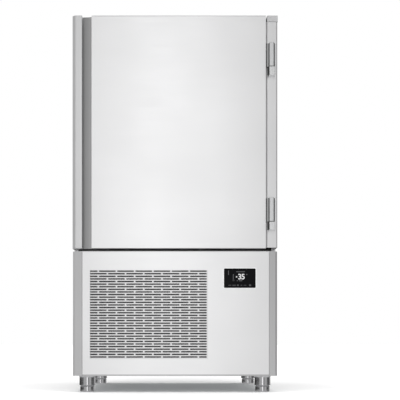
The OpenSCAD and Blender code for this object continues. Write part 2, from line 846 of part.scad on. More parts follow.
module evaporator_fan_motors() color("dimgray") at_evaporator_fans(fan_panel_y) fan_motor();

module evaporator_motor_brackets() color("silver") at_evaporator_fans(fan_panel_y)
    motor_bracket(evap_fan_d, sheet_t);

module evaporator_impeller(i) color("black") at_fan(fan_panel_y, fan_z[i]) translate([0, 0, impeller_in])
    impeller(evap_fan_d, impeller_h);

module evaporator_impeller_upper() evaporator_impeller(1);

module evaporator_impeller_lower() evaporator_impeller(0);

// ---- finned coils ----

// centres of a coil's tubes, as [y, z] from its lower front edge
function tube_places(d, h, rows) = 
    [for (i = [0:rows - 1], c = [coil_near, coil_far]) [d * c, h * (i + 0.5) / rows]];

// Fins between two end plates whose feet reach stand below the coil
module finned_coil(hw, d, h, rows, pitch, stand) {
    n = floor(2 * (hw - fin_end) / pitch);
    for (i = [0:n]) translate([(i - n / 2) * pitch - fin_t / 2, 0, 0]) rotate([90, 0, 90])
        linear_extrude(fin_t) difference() {
        square([d, h]);
        for (p = tube_places(d, h, rows)) translate(p) circle(d = tube_d + 2 * tube_play);
    }
    both_sides() translate([hw - end_plate_t, 0, 0]) rotate([90, 0, 90])
        linear_extrude(end_plate_t) difference() {
        translate([0, -stand]) square([d, h + stand]);
        for (p = tube_places(d, h, rows)) translate(p) circle(d = tube_d + 2 * tube_play);
    }
}

// straight tubes and the bends that join them at the ends
module coil_tubes(hw, d, h, rows) {
    places = tube_places(d, h, rows);
    for (p = places) translate([-hw - coil_end, p[0], p[1]]) rotate([0, 90, 0])
        cylinder(d = tube_d, h = 2 * (hw + coil_end));
    gap = d * (coil_far - coil_near);
    // bends across the coil at the right, and up the coil at the left
    for (i = [0:rows - 1]) translate([hw + coil_end, d / 2, h * (i + 0.5) / rows]) rotate([0, 0, -90])
        rotate_extrude(angle = 180) translate([gap / 2, 0]) circle(d = tube_d);
    for (i = [0:rows - 2]) translate([-hw - coil_end, d * (i % 2 == 0 ? coil_near : coil_far),
        h * (i + 1) / rows])
        rotate([90, -90, 0])
        rotate_extrude(angle = 180) translate([h / rows / 2, 0]) circle(d = tube_d);
}

module at_evaporator() translate([0, evap_y1 - evap_d, evap_z0]) children();

module evaporator_coil() color("lightgray") at_evaporator()
    finned_coil(evap_hw, evap_d, evap_h, tube_rows, fin_pitch, evap_z0 - chamber_z0 - sheet_t);

module evaporator_tubes() color("peru") at_evaporator() coil_tubes(evap_hw, evap_d, evap_h, tube_rows);

module drip_pan() color("gainsboro") difference() {
    y0 = fan_panel_y + pan_front;
    y1 = chamber_y1 - pan_back;
    block([-fan_panel_hw, y0, chamber_z0], [fan_panel_hw, y1, chamber_z0 + pan_h]);
    block([-fan_panel_hw + sheet_t, y0 + sheet_t, chamber_z0 + sheet_t],
        [fan_panel_hw - sheet_t, y1 - sheet_t, chamber_z0 + pan_h + e]);
    translate([drain_x, drain_y, chamber_z0 - e]) cylinder(d = drain_d, h = sheet_t + 2 * e);
}

module drain_pipe() color("gray") translate([drain_x, drain_y, drain_out_z]) difference() {
    cylinder(d = drain_d + 2 * pipe_wall, h = chamber_z0 - drain_out_z);
    translate([0, 0, -e]) cylinder(d = drain_d, h = chamber_z0 - drain_out_z + 2 * e);
}

// ---- lower section ----

// Plan of the lower section: the slanted bands turn into the sides by arcs
function band_points(x_front) = let (x = abs(x_front), n = -90 + band_slant,
        cx = half_w - band_r, slant_end = cx + band_r * cos(n),
        cy = door_y + (slant_end - x) * tan(band_slant) - band_r * sin(n))
    concat([[x, door_y]], arc([cx, cy], band_r, n, 0, 8));

function mirrored(points) = [for (i = [len(points) - 1:-1:0]) [-points[i][0], points[i][1]]];

module lower_outline() polygon(concat(band_points(front_right_x), [[half_w, back_y], [-half_w, back_y]],
    mirrored(band_points(front_left_x))));

module lower_side(side) {
    front_x = side > 0 ? front_right_x : front_left_x;
    translate([0, 0, foot_h]) linear_extrude(deck_z - foot_h) union() {
        difference() {
            lower_outline();
            offset(delta = -sheet_t) lower_outline();
            // only this side's band and wall
            translate([side > 0 ? front_x - cabinet_w : front_x, door_y - e]) square([cabinet_w, cabinet_d]);
            translate([-half_w + sheet_t, back_y - 2 * sheet_t])
                square([cabinet_w - 2 * sheet_t, 3 * sheet_t]);
        }
        // return beside the front panel, and the flange behind the back panel
        translate([side > 0 ? front_x : front_x - sheet_t, door_y + return_gap])
            square([sheet_t, panel_edge]);
        translate([side > 0 ? half_w - side_flange : -half_w, vent_y - 2 * sheet_t])
            square([side_flange, sheet_t]);
    }
}

module lower_side_panel_left() color("silver") lower_side(-1);

module lower_side_panel_right() color("silver") lower_side(1);

module machine_deck() color("silver") difference() {
    translate([0, 0, deck_z]) linear_extrude(deck_t) lower_outline();
    pipe_holes(deck_z);
}

module base_pan() color("gray") {
    block([-base_hw, base_y0, foot_h], [base_hw, base_y1 - sheet_t, base_z]);
    difference() {
        block([-base_hw, base_y0, foot_h], [base_hw, base_y1 - sheet_t, foot_h + base_edge]);
        block([-base_hw + base_t, base_y0 + base_t, foot_h - e],
            [base_hw - base_t, base_y1 - sheet_t - base_t, foot_h + base_edge + e]);
    }
}

module machine_frame() color("gray") {
    x = base_hw - base_t;
    y0 = base_y0 + base_t;
    y1 = base_y1 - sheet_t - base_t;
    h = deck_z - base_z;
    both_sides() {
        translate([x, y0, base_z]) rotate([0, 0, 90]) angle_bar(frame_w, frame_t, h);
        translate([x, y1, base_z]) rotate([0, 0, 180]) angle_bar(frame_w, frame_t, h);
        block([x - frame_t, y0, deck_z - frame_w], [x, y1, deck_z]);
        block([x - frame_w, y0, deck_z - frame_t], [x, y1, deck_z]);
    }
    for (y = [y0, y1 - frame_t]) block([-x, y, deck_z - frame_w], [x, y + frame_t, deck_z]);
}

// Plan of one row of the grille: odd rows begin with a short slot, even rows end with one
module slot_row(odd) {
    lead = odd ? slot_pitch / 2 : 0;
    for (i = [0:slot_cols - 1]) translate([lead + i * slot_pitch, 0]) slot(slot_l, slot_h);
    translate([odd ? 0 : slot_cols * slot_pitch, 0]) slot(short_slot, slot_h);
}

module front_panel() color("gainsboro") {
    x0 = front_left_x + seam;
    x1 = front_right_x - seam;
    room = 2 * (bezel + cutout_gap);
    plate(door_y, panel_t) difference() {
        translate([x0, foot_h]) square([x1 - x0, panel_z1 - foot_h]);
        translate([grille_x0, grille_z0]) for (i = [0:slot_rows - 1]) translate([0, i * row_pitch])
            slot_row(i % 2 == 1);
        translate([display_x, display_z])
            rounded_rect(display_w + room, display_h + room, display_r + bezel);
    }
    translate([(x0 + x1) / 2, 0, (foot_h + panel_z1) / 2]) plate(door_y, panel_edge)
        frame_rect(x1 - x0, panel_z1 - foot_h, panel_t);
}

module lower_back_panel() color("silver") {
    difference() {
        block([-half_w + sheet_t, vent_y - sheet_t, foot_h], [half_w - sheet_t, vent_y, deck_z]);
        for (x = louvre_x, i = [0:louvre_rows - 1]) let (z = foot_h + louvre_low + i * louvre_pitch)
            block([x - louvre_w / 2, vent_y - sheet_t - e, z],
                [x + louvre_w / 2, vent_y + e, z + louvre_h]);
        translate([gland_x, vent_y - sheet_t - e, gland_z]) rotate([-90, 0, 0])
            cylinder(d = gland_thread_d, h = sheet_t + 2 * e);
    }
    // louvre hoods
    for (x = louvre_x, i = [0:louvre_rows - 1])
        translate([x - louvre_w / 2, vent_y, foot_h + louvre_low + louvre_h + 1 + i * louvre_pitch])
        rotate([90, 0, 90]) linear_extrude(louvre_w) polygon([[-sheet_t / 2, 0], [0, sheet_t],
            [hood_out, -hood_drop], [hood_out - sheet_t, -hood_drop - sheet_t / 2]]);
}

// ---- air path of the machine ----

module air_filter() color("dimgray") {
    w = condenser_w;
    h = condenser_h;
    translate([condenser_x, 0, cond_fan_z]) plate(condenser_y - filter_t, filter_t)
        frame_rect(w, h, filter_frame);
    translate([condenser_x, 0, cond_fan_z]) plate(condenser_y - filter_t / 2, filter_wire_t) union() {
        for (i = [1:filter_cols - 1]) translate([(i / filter_cols - 0.5) * w, 0])
            square([filter_wire, h - filter_frame], center = true);
        for (i = [1:filter_rows - 1]) translate([0, (i / filter_rows - 0.5) * h])
            square([w - filter_frame, filter_wire], center = true);
    }
}

module at_condenser() translate([condenser_x, condenser_y, condenser_z]) children();

module condenser_coil() color("lightgray") at_condenser()
    finned_coil(condenser_w / 2, condenser_d, condenser_h, condenser_rows, fin_pitch, condenser_z - base_z);

module condenser_tubes() color("peru") at_condenser()
    coil_tubes(condenser_w / 2, condenser_d, condenser_h, condenser_rows);

module condenser_shroud() color("silver") {
    ring_r = cond_fan_d / 2 + fan_gap;
    translate([condenser_x, 0, cond_fan_z]) {
        plate(shroud_y, shroud_d) frame_rect(condenser_w, condenser_h, sheet_t);
        plate(shroud_y + shroud_d - sheet_t, sheet_t) difference() {
            square([condenser_w, condenser_h], center = true);
            circle(ring_r, $fn = 96);
        }
        plate(cond_fan_y, ring_l) difference() {
            circle(ring_r + ring_t, $fn = 96);
            circle(ring_r, $fn = 96);
        }
    }
    at_fan(cond_fan_y, cond_fan_z, condenser_x) motor_bracket(cond_fan_d + 2 * fan_gap, ring_in);
    // feet down to the base pan
    for (x = [condenser_x - condenser_w / 2, condenser_x + condenser_w / 2 - shroud_foot_w])
        block([x, shroud_y, base_z], [x + shroud_foot_w, shroud_y + shroud_d, condenser_z]);
}

module condenser_fan_motor() color("dimgray") at_fan(cond_fan_y, cond_fan_z, condenser_x)
    fan_motor();

module condenser_impeller() color("black") at_fan(cond_fan_y, cond_fan_z, condenser_x)
    translate([0, 0, 1]) impeller(cond_fan_d, impeller_h);

// ---- refrigerating machine ----

module compressor() color([0.15, 0.15, 0.16]) translate([compressor_x, compressor_y, base_z + mount_h]) {
    // shell: a cylinder with domed ends, with its welded seam
    translate([0, 0, shell_z]) rotate_extrude() intersection() {
        square([compressor_d / 2, compressor_h]);
        translate([0, compressor_h / 2]) circle(compressor_h / 2, $fn = 96);
    }
    translate([0, 0, shell_z + compressor_h * seam_at])
        cylinder(d = compressor_d + 2 * seam_over, h = seam_h);
    // stubs for the suction and discharge pipes
    for (s = [[pipe_stub_y, suction_d], [-pipe_stub_y, liquid_d]])
        translate([0, s[0], shell_z + compressor_h - stub_h])
            cylinder(d = s[1] + 2 * stub_wall, h = stub_h);
    // foot plate
    w = compressor_d + 2 * plate_over;
    translate([-w / 2, -w / 2, 0]) cube([w, w, plate_t]);
    translate([0, 0, shell_foot]) cylinder(d = compressor_d * 0.6, h = stub_h);
    translate([-compressor_d / 2 - terminal_out, -terminal_box[1] / 2, terminal_z]) cube(terminal_box);
}

module compressor_mounts() color([0.1, 0.1, 0.1]) translate([compressor_x, compressor_y, base_z])
    for (x = [-1, 1], y = [-1, 1]) translate([x * compressor_d / 2, y * compressor_d / 2, 0]) {
        cylinder(d = mount_d, h = mount_h * mount_rim);
        cylinder(d = mount_neck_d, h = mount_h);
        translate([0, 0, mount_h * (1 - mount_rim)]) cylinder(d = mount_d, h = mount_h * mount_rim);
    }

module liquid_receiver() color([0.15, 0.15, 0.16]) translate([receiver_x, receiver_y, base_z]) {
    translate([0, 0, receiver_z]) rotate_extrude() intersection() {
        square([receiver_d / 2, receiver_h]);
        translate([0, receiver_h / 2]) circle(receiver_h / 2, $fn = 96);
    }
    translate([0, 0, receiver_z + receiver_h - receiver_neck + 6])
        cylinder(d = liquid_d + 2 * stub_wall, h = receiver_neck);
    translate([-receiver_d / 2 - stub_l, 0, condenser_z - base_z + condenser_h / condenser_rows / 2])
        rotate([0, 90, 0]) cylinder(d = liquid_d + 2 * stub_wall, h = stub_l + receiver_d / 4);
    difference() {
        cylinder(d = receiver_d * receiver_ring, h = receiver_ring_h);
        translate([0, 0, -e]) cylinder(d = receiver_d * receiver_ring - 2 * stub_wall, h = receiver_z);
    }
}

module filter_drier() color("peru") translate([drier_x, receiver_y, drier_z]) rotate([0, 90, 0]) {
    cylinder(d = drier_d, h = drier_l);
    translate([0, 0, -drier_cone]) cylinder(d1 = liquid_d + stub_wall, d2 = drier_d, h = drier_cone);
    translate([0, 0, drier_l]) cylinder(d1 = drier_d, d2 = liquid_d + stub_wall, h = drier_cone);
}

// a tube along points joined by right angles, bent at each inner point
module pipe_run(d, points) {
    last = len(points) - 1;
    r = d * bend_ratio;
    for (i = [0:last - 1]) let (a = points[i], v = points[i + 1] - a, l = norm(v), u = v / l,
        t0 = i == 0 ? 0 : r, t1 = i == last - 1 ? 0 : r)
        translate(a + u * t0) rotate([0, acos(u[2]), atan2(u[1], u[0])]) cylinder(d = d, h = l - t0 - t1);
    for (i = [1:last - 1]) let (u = (points[i] - points[i - 1]) / norm(points[i] - points[i - 1]),
        v = (points[i + 1] - points[i]) / norm(points[i + 1] - points[i]), w = cross(u, v),
        c = points[i] + r * (v - u))
        multmatrix([[-v[0], u[0], w[0], c[0]], [-v[1], u[1], w[1], c[1]], [-v[2], u[2], w[2], c[2]]])
            rotate_extrude(angle = 90) translate([r, 0]) circle(d = d);
}

module refrigerant_pipes() color("peru") {
    top = base_z + mount_h + shell_z + compressor_h;
    over = top + 2 * liquid_d;
    across = top + suction_over;
    // a coil's open tube ends: lowest and highest row at the far column
    evap_x = -evap_hw - coil_end;
    evap_low = evap_z0 + evap_h / tube_rows / 2;
    evap_high = evap_z0 + evap_h - evap_h / tube_rows / 2;
    cond_x = condenser_x - condenser_w / 2 - coil_end;
    cond_y = condenser_y + condenser_d * coil_far;
    cond_low = condenser_z + condenser_h / condenser_rows / 2;
    cond_high = condenser_z + condenser_h - condenser_h / condenser_rows / 2;
    turn = liquid_d * bend_ratio + 2;
    // suction: a header beside the evaporator, down through the floor, to the compressor
    pipe_run(suction_d, [[suction_x, suction_y, evap_high + suction_d], [suction_x, suction_y, across],
        [compressor_x, suction_y, across], [compressor_x, compressor_y + pipe_stub_y, across],
        [compressor_x, compressor_y + pipe_stub_y, top]]);
    pipe_run(tube_d, [[evap_x, liquid_y, evap_high], [suction_x, liquid_y, evap_high],
        [suction_x, suction_y, evap_high]]);
    // discharge: compressor to the condenser's top
    pipe_run(liquid_d, [[compressor_x, compressor_y - pipe_stub_y, top],
        [compressor_x, compressor_y - pipe_stub_y, over],
        [cond_x - turn, compressor_y - pipe_stub_y, over], [cond_x - turn, cond_y, over],
        [cond_x - turn, cond_y, cond_high], [cond_x, cond_y, cond_high]]);
    // liquid: condenser to the receiver, then through the drier up to the evaporator
    pipe_run(liquid_d, [[cond_x, cond_y, cond_low], [cond_x - turn, cond_y, cond_low],
        [cond_x - turn, receiver_y, cond_low],
        [receiver_x - receiver_d / 2 - stub_l, receiver_y, cond_low]]);
    pipe_run(liquid_d, [[receiver_x, receiver_y, base_z + receiver_z + receiver_h + 6],
        [receiver_x, receiver_y, drier_z],
        [drier_x - drier_cone, receiver_y, drier_z]]);
    pipe_run(liquid_d, [[drier_x + drier_l + drier_cone, receiver_y, drier_z],
        [drier_out_x, receiver_y, drier_z],
        [drier_out_x, liquid_y, drier_z], [suction_x, liquid_y, drier_z], [suction_x, liquid_y, evap_low],
        [evap_x, liquid_y, evap_low]]);
}

module electrical_box() color("lightgray") difference() {
    block([box_x, box_y, base_z], [box_x + box_w, box_y + box_d, base_z + box_h]);
    // the seam behind the cover
    translate([box_x + box_w / 2, 0, base_z + box_h / 2]) plate(box_y + cover_t, cover_seam)
        frame_rect(box_w + 2 * e, box_h + 2 * e, cover_seam_in + e);
}

// ---- display ----

module at_display() translate([display_x, 0, display_z]) children();

module display_glass() color([0.03, 0.03, 0.04]) at_display() plate(door_y, glass_t)
    rounded_rect(display_w, display_h, display_r);

module display_housing() color("silver") at_display() difference() {
    union() {
        plate(door_y, rim_t) rounded_rect(display_w + 2 * bezel, display_h + 2 * bezel, display_r + bezel);
        plate(door_y + panel_t, flange_t)
            rounded_rect(display_w + 2 * flange_over, display_h + 2 * flange_over, display_r + flange_r);
        plate(door_y + panel_t + flange_t, tub_d)
            rounded_rect(display_w + 2 * tub_over, display_h + 2 * tub_over, display_r);
    }
    plate(door_y - e, glass_t + e)
        rounded_rect(display_w + 2 * glass_play, display_h + 2 * glass_play, display_r + glass_play);
    plate(door_y + glass_t - e, tub_in + e)
        rounded_rect(display_w - 2 * tub_wall, display_h - 2 * tub_wall, display_r);
}

module control_board() color("darkgreen") at_display() {
    w = display_w - 2 * (tub_wall + board_gap);
    h = display_h - 2 * (tub_wall + board_gap);
    plate(door_y + glass_t + board_y, board_t) rounded_rect(w, h, display_r);
    // the lamp module behind the glass, and its socket strip
    plate(door_y + glass_t, board_y / 2 + e) translate([0, h / 4])
        square([w * 0.6, h * 0.3], center = true);
    plate(door_y + glass_t + board_y / 2, board_y / 2 + e) square([w * 0.96, h * 0.12], center = true);
    plate(door_y + glass_t + board_y / 2, 3 * e) translate([0, h / 8])
        square([w * 0.5, h * 0.3], center = true);
}

// ---- small parts ----

module cable_gland() color([0.1, 0.1, 0.1]) translate([gland_x, vent_y, gland_z]) rotate([-90, 0, 0])
    difference() {
    union() {
        translate([0, 0, -sheet_t - gland_thread_l])
            cylinder(d = gland_thread_d, h = sheet_t + gland_thread_l + e);
        translate([0, 0, -sheet_t - gland_nut_h]) cylinder(d = gland_nut_d, h = gland_nut_h, $fn = 6);
        cylinder(d = gland_nut_d, h = gland_hex_h, $fn = 6);
        translate([0, 0, gland_hex_h]) cylinder(d = gland_cap_d, h = gland_l - gland_hex_h - gland_tip);
        translate([0, 0, gland_l - gland_tip]) cylinder(d1 = gland_cap_d, d2 = gland_tip_d, h = gland_tip);
    }
    translate([0, 0, -sheet_t - gland_thread_l - e])
        cylinder(d = gland_bore_d, h = gland_l + sheet_t + gland_thread_l + 2 * e);
}

module screw_head(p) translate(p) rotate([-90, 0, 0]) difference() {
    union() {
        cylinder(d = screw_d, h = screw_h - screw_slope);
        translate([0, 0, screw_h - screw_slope])
            cylinder(d1 = screw_d, d2 = screw_d - 3 * screw_slope, h = screw_slope);
    }
    translate([0, 0, screw_h - screw_slope]) cylinder(d = screw_socket, h = screw_slope + e, $fn = 6);
}

module panel_screws() color("gray") {
    x1 = half_w - screw_in;
    for (x = [-x1, 0, x1], z = [case_z + screw_in + 4, (case_z + lid_z) / 2, lid_z - screw_in - 2])
        screw_head([x, back_panel_y + sheet_t, z]);
    for (x = [-x1, x1], z = [foot_h + screw_in + 8, case_z - screw_in - 8]) screw_head([x, vent_y, z]);
}

// ---- feet ----

module foot_sleeves() color("silver") for (x = [-foot_x, foot_x], y = foot_y) translate([x, y, 0])
    difference() {
    union() {
        translate([0, 0, sole_h]) cylinder(d = sleeve_d, h = sleeve_h - flare_h);
        translate([0, 0, foot_h - flare_h]) cylinder(d1 = sleeve_d, d2 = sleeve_d + 2 * flare, h = flare_h);
    }
    translate([0, 0, sole_h - e]) cylinder(d = stem_d + 2 * stem_play, h = stem_l + stem_room + e);
}

module foot(x, y) color("lightgray") translate([x, y, 0]) {
    cylinder(d1 = sole_d - 2 * sole_slope, d2 = sole_d, h = sole_edge);
    translate([0, 0, sole_edge]) cylinder(d = sole_d, h = sole_h - sole_edge - sole_gap);
    cylinder(d = stem_d, h = sole_h + stem_l);
}

module foot_front_left() foot(-foot_x, foot_y[0]);

module foot_front_right() foot(foot_x, foot_y[0]);

module foot_rear_left() foot(-foot_x, foot_y[1]);

module foot_rear_right() foot(foot_x, foot_y[1]);

outer_casing();
top_cover();
back_panel();
cabinet_insulation();
chamber_liner();
door_frame_trim();
hinge_post();
hinge_post_cap();
hinge_frame_blocks();
hinge_bushes();
hinge_pins();
rack_posts();
tray_runners();
fan_panel();
fan_guards();
evaporator_fan_motors();
evaporator_motor_brackets();
evaporator_coil();
evaporator_tubes();
drip_pan();
drain_pipe();
base_pan();
machine_frame();
machine_deck();
lower_side_panel_left();
lower_side_panel_right();
lower_back_panel();
front_panel();
air_filter();
condenser_coil();
condenser_tubes();
condenser_shroud();
condenser_fan_motor();
compressor();
compressor_mounts();
liquid_receiver();
filter_drier();
refrigerant_pipes();
electrical_box();
control_board();
display_glass();
display_housing();
cable_gland();
panel_screws();
foot_sleeves();
door_skin();
door_foam();
door_inner_panel();
door_grip_profile();
door_end_caps();
door_gasket();
hinge_door_blocks();
evaporator_impeller_upper();
evaporator_impeller_lower();
condenser_impeller();
foot_front_left();
foot_front_right();
foot_rear_left();
foot_rear_right();
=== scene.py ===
import bpy
import bmesh
import json
import math
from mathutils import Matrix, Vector


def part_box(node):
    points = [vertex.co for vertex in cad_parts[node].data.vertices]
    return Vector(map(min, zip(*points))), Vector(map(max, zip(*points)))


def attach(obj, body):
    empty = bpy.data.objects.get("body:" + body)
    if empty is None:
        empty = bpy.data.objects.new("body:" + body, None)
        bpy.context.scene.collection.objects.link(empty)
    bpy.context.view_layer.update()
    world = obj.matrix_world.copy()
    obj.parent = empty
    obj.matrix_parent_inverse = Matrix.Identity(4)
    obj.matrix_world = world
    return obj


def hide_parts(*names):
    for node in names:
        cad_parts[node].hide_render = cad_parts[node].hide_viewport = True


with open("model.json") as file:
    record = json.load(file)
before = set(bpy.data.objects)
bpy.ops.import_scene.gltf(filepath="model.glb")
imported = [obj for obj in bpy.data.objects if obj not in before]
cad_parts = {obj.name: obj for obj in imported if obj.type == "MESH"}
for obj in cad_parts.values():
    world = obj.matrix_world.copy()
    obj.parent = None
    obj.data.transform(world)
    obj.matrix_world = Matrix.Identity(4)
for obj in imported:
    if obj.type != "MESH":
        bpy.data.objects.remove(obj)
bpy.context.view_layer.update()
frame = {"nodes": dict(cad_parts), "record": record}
print("frame loaded:", len(frame["nodes"]), "nodes")


tiny = 1e-5             # metres: places this near count as one
nearly = 0.001          # metres: how near a face an edge has to lie to belong to it
sharpTurn = 0.5         # radians: edges that turn more than this can be rounded


# working helpers: selection, blocks, bevels, folded strips and turned profiles
def clearSelection():
    if bpy.context.object and bpy.context.object.mode != "OBJECT":
        bpy.ops.object.mode_set(mode="OBJECT")
    bpy.ops.object.select_all(action="DESELECT")


def startEdit(piece, mode="FACE"):
    clearSelection()
    piece.select_set(True)
    bpy.context.view_layer.objects.active = piece
    bpy.ops.object.mode_set(mode="EDIT")
    bpy.ops.mesh.select_mode(type=mode)
    bpy.ops.mesh.select_all(action="DESELECT")
    return bmesh.from_edit_mesh(piece.data)


def endEdit():
    bpy.ops.object.mode_set(mode="OBJECT")


def pick(parts, test):
    # selects the faces, edges or vertices that pass the test
    for part in parts:
        part.select_set(bool(test(part)))


def openFaces(piece, test):
    # edit mode on the piece, with the faces that pass the test selected
    mesh = startEdit(piece)
    pick(mesh.faces, test)
    bmesh.update_edit_mesh(piece.data)


def middle(part):
    # centre of a face or an edge
    if hasattr(part, "calc_center_median"):
        return part.calc_center_median()
    return sum((vertex.co for vertex in part.verts), Vector()) / 2


def reach(edge, way):
    # how far an edge goes along X, Y or Z, given as 0, 1 or 2
    return abs(edge.verts[0].co[way] - edge.verts[1].co[way])


def uprightEdge(edge):
    return reach(edge, 2) > 0.005


def block(name, low, high):
    # a cube between two corners, its place put into the mesh
    clearSelection()
    centre = [(a + b) / 2 for a, b in zip(low, high)]
    bpy.ops.mesh.primitive_cube_add(size=1, location=centre)
    piece = bpy.context.object
    piece.name = name
    piece.scale = [b - a for a, b in zip(low, high)]
    bpy.ops.object.transform_apply(location=True, rotation=True, scale=True)
    return piece


def bevelEdges(piece, width, segments, test=None):
    # rounds the edges that pass the test, or every sharp one
    mesh = startEdit(piece, "EDGE")
    pick(mesh.edges, lambda edge: edge.is_manifold and edge.calc_face_angle(0) > sharpTurn
         and (test is None or test(edge)))
    bmesh.update_edit_mesh(piece.data)
    bpy.ops.mesh.bevel(offset=width, segments=segments, profile=0.5, clamp_overlap=True)
    endEdit()


def thicken(piece, wall, side=-1):
    # gives a sheet its wall, inwards with -1 and outwards with 1
    clearSelection()
    bpy.context.view_layer.objects.active = piece
    piece.select_set(True)
    solid = piece.modifiers.new("wall", "SOLIDIFY")
    solid.thickness = wall
    solid.offset = side
    solid.use_even_offset = True
    bpy.ops.object.modifier_apply(modifier="wall")


def foldStrip(name, points, run):
    # a strip as wide as run, folded edge by edge along the points
    clearSelection()
    bpy.ops.mesh.primitive_plane_add(size=1)
    piece = bpy.context.object
    piece.name = name
    mesh = startEdit(piece, "VERT")
    points, run = [Vector(point) for point in points], Vector(run)
    for vertex, place in zip(mesh.verts, (points[0], points[1], points[0] + run, points[1] + run)):
        vertex.co = place
    mesh.verts.ensure_lookup_table()
    pick(mesh.verts, lambda vertex: vertex.index in (1, 3))
    mesh.select_flush(True)
    bmesh.update_edit_mesh(piece.data)
    for here, there in zip(points[1:], points[2:]):
        bpy.ops.mesh.extrude_edges_move(TRANSFORM_OT_translate={"value": there - here})
    bpy.ops.mesh.select_all(action="SELECT")
    bpy.ops.mesh.remove_doubles(threshold=tiny / 10)
    endEdit()
    return piece


def foldSheet(name, plan, low, high):
    # a strip standing from low to high on points drawn in plan
    return foldStrip(name, [(x, y, low) for x, y in plan], (0, 0, high - low))


def slab(name, plan, low, high):
    # a solid slab between two heights from a closed outline drawn in plan
    piece = foldSheet(name, plan + [plan[0]], low, high)
    for height in (low, high):
        mesh = startEdit(piece, "EDGE")
        pick(mesh.edges, lambda edge: all(abs(vertex.co.z - height) < tiny for vertex in edge.verts))
        bmesh.update_edit_mesh(piece.data)
        bpy.ops.mesh.edge_face_add()
    bpy.ops.mesh.select_all(action="SELECT")
    bpy.ops.mesh.normals_make_consistent(inside=False)
    endEdit()
    return piece


def facePlate(name, low, high):
    # one upright face on the plane y = low[1], facing +Y
    clearSelection()
    centre = ((low[0] + high[0]) / 2, low[1], (low[2] + high[2]) / 2)
    bpy.ops.mesh.primitive_plane_add(size=1, location=centre, rotation=(-math.pi / 2, 0, 0))
    piece = bpy.context.object
    piece.name = name
    piece.scale = (high[0] - low[0], high[2] - low[2], 1)
    bpy.ops.object.transform_apply(location=True, rotation=True, scale=True)
    return piece


def cutAt(piece, place, across):
    # an edge line where the plane through place crosses the mesh
    startEdit(piece)
    bpy.ops.mesh.select_all(action="SELECT")
    bpy.ops.mesh.bisect(plane_co=place, plane_no=across)
    endEdit()


def ringPlate(name, low, high, border):
    # a rectangular ring of four mitred faces on the plane y = low[1], facing +Y
    piece = facePlate(name, low, high)
    startEdit(piece)
    bpy.ops.mesh.select_all(action="SELECT")
    bpy.ops.mesh.inset(thickness=border)
    bpy.ops.mesh.delete(type="FACE")
    bpy.ops.mesh.select_all(action="SELECT")
    endEdit()
    return piece


def turnProfile(name, centre, profile, steps=64):
    # points of (radius, height) spun about an upright axis
    clearSelection()
    bpy.ops.mesh.primitive_plane_add(size=1)
    piece = bpy.context.object
    piece.name = name
    mesh = startEdit(piece, "VERT")
    mesh.verts.ensure_lookup_table()
    for vertex in list(mesh.verts)[1:]:
        mesh.verts.remove(vertex)
    mesh.verts.ensure_lookup_table()
    mesh.verts[0].co = (centre[0] + profile[0][0], centre[1], profile[0][1])
    mesh.verts[0].select_set(True)
    bmesh.update_edit_mesh(piece.data)
    for here, there in zip(profile, profile[1:]):
        step = (there[0] - here[0], 0, there[1] - here[1])
        bpy.ops.mesh.extrude_vertices_move(TRANSFORM_OT_translate={"value": step})
    bpy.ops.mesh.select_all(action="SELECT")
    bpy.ops.mesh.spin(steps=steps, angle=2 * math.pi, center=(centre[0], centre[1], 0), axis=(0, 0, 1))
    bpy.ops.mesh.select_all(action="SELECT")
    bpy.ops.mesh.remove_doubles(threshold=tiny)
    bpy.ops.mesh.normals_make_consistent(inside=False)
    endEdit()
    return piece


def arcPoints(centre, radius, start, end, steps=10):
    # points of an arc between two turns in degrees
    turns = [math.radians(start + (end - start) * i / steps) for i in range(steps + 1)]
    return [(centre[0] + radius * math.cos(a), centre[1] + radius * math.sin(a)) for a in turns]


def joinPieces(pieces, name):
    clearSelection()
    for piece in pieces:
        piece.select_set(True)
    bpy.context.view_layer.objects.active = pieces[0]
    if len(pieces) > 1:
        bpy.ops.object.join()
    pieces[0].name = name
    return pieces[0]


def dress(piece, material, body, nodes=(), smooth=30):
    # last steps for every piece: smooth shading, material, body and the nodes it stands for
    clearSelection()
    piece.select_set(True)
    bpy.context.view_layer.objects.active = piece
    bpy.ops.object.transform_apply(location=True, rotation=True, scale=True)
    bpy.ops.object.shade_smooth_by_angle(angle=math.radians(smooth))
    even = piece.modifiers.new("flatFaces", "WEIGHTED_NORMAL")
    even.keep_sharp = True
    bpy.ops.object.modifier_apply(modifier="flatFaces")
    piece.data.materials.clear()
    piece.data.materials.append(material)
    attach(piece, body)
    if nodes:
        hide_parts(*nodes)
    return piece


# materials, all of nodes in object space
def freshMaterial(name, colour, rough, metal=0.0):
    material = bpy.data.materials.new(name)
    material.use_nodes = True
    shader = material.node_tree.nodes["Principled BSDF"]
    shader.inputs["Base Color"].default_value = (*colour, 1)
    shader.inputs["Roughness"].default_value = rough
    shader.inputs["Metallic"].default_value = metal
    return material, material.node_tree, shader


def addNoise(tree, stretch, scale, detail=4):
    # noise in object space, stretched by the Mapping's scale
    place = tree.nodes.new("ShaderNodeTexCoord")
    turn = tree.nodes.new("ShaderNodeMapping")
    turn.inputs["Scale"].default_value = stretch
    noise = tree.nodes.new("ShaderNodeTexNoise")
    noise.inputs["Scale"].default_value = scale
    noise.inputs["Detail"].default_value = detail
    tree.links.new(place.outputs["Object"], turn.inputs["Vector"])
    tree.links.new(turn.outputs["Vector"], noise.inputs["Vector"])
    return noise


def spread(tree, source, low, high):
    # maps a noise's middle values to a range of roughness or height
    ranges = tree.nodes.new("ShaderNodeMapRange")
    ranges.inputs["From Min"].default_value = 0.3
    ranges.inputs["From Max"].default_value = 0.7
    ranges.inputs["To Min"].default_value = low
    ranges.inputs["To Max"].default_value = high
    tree.links.new(source, ranges.inputs["Value"])
    return ranges.outputs["Result"]


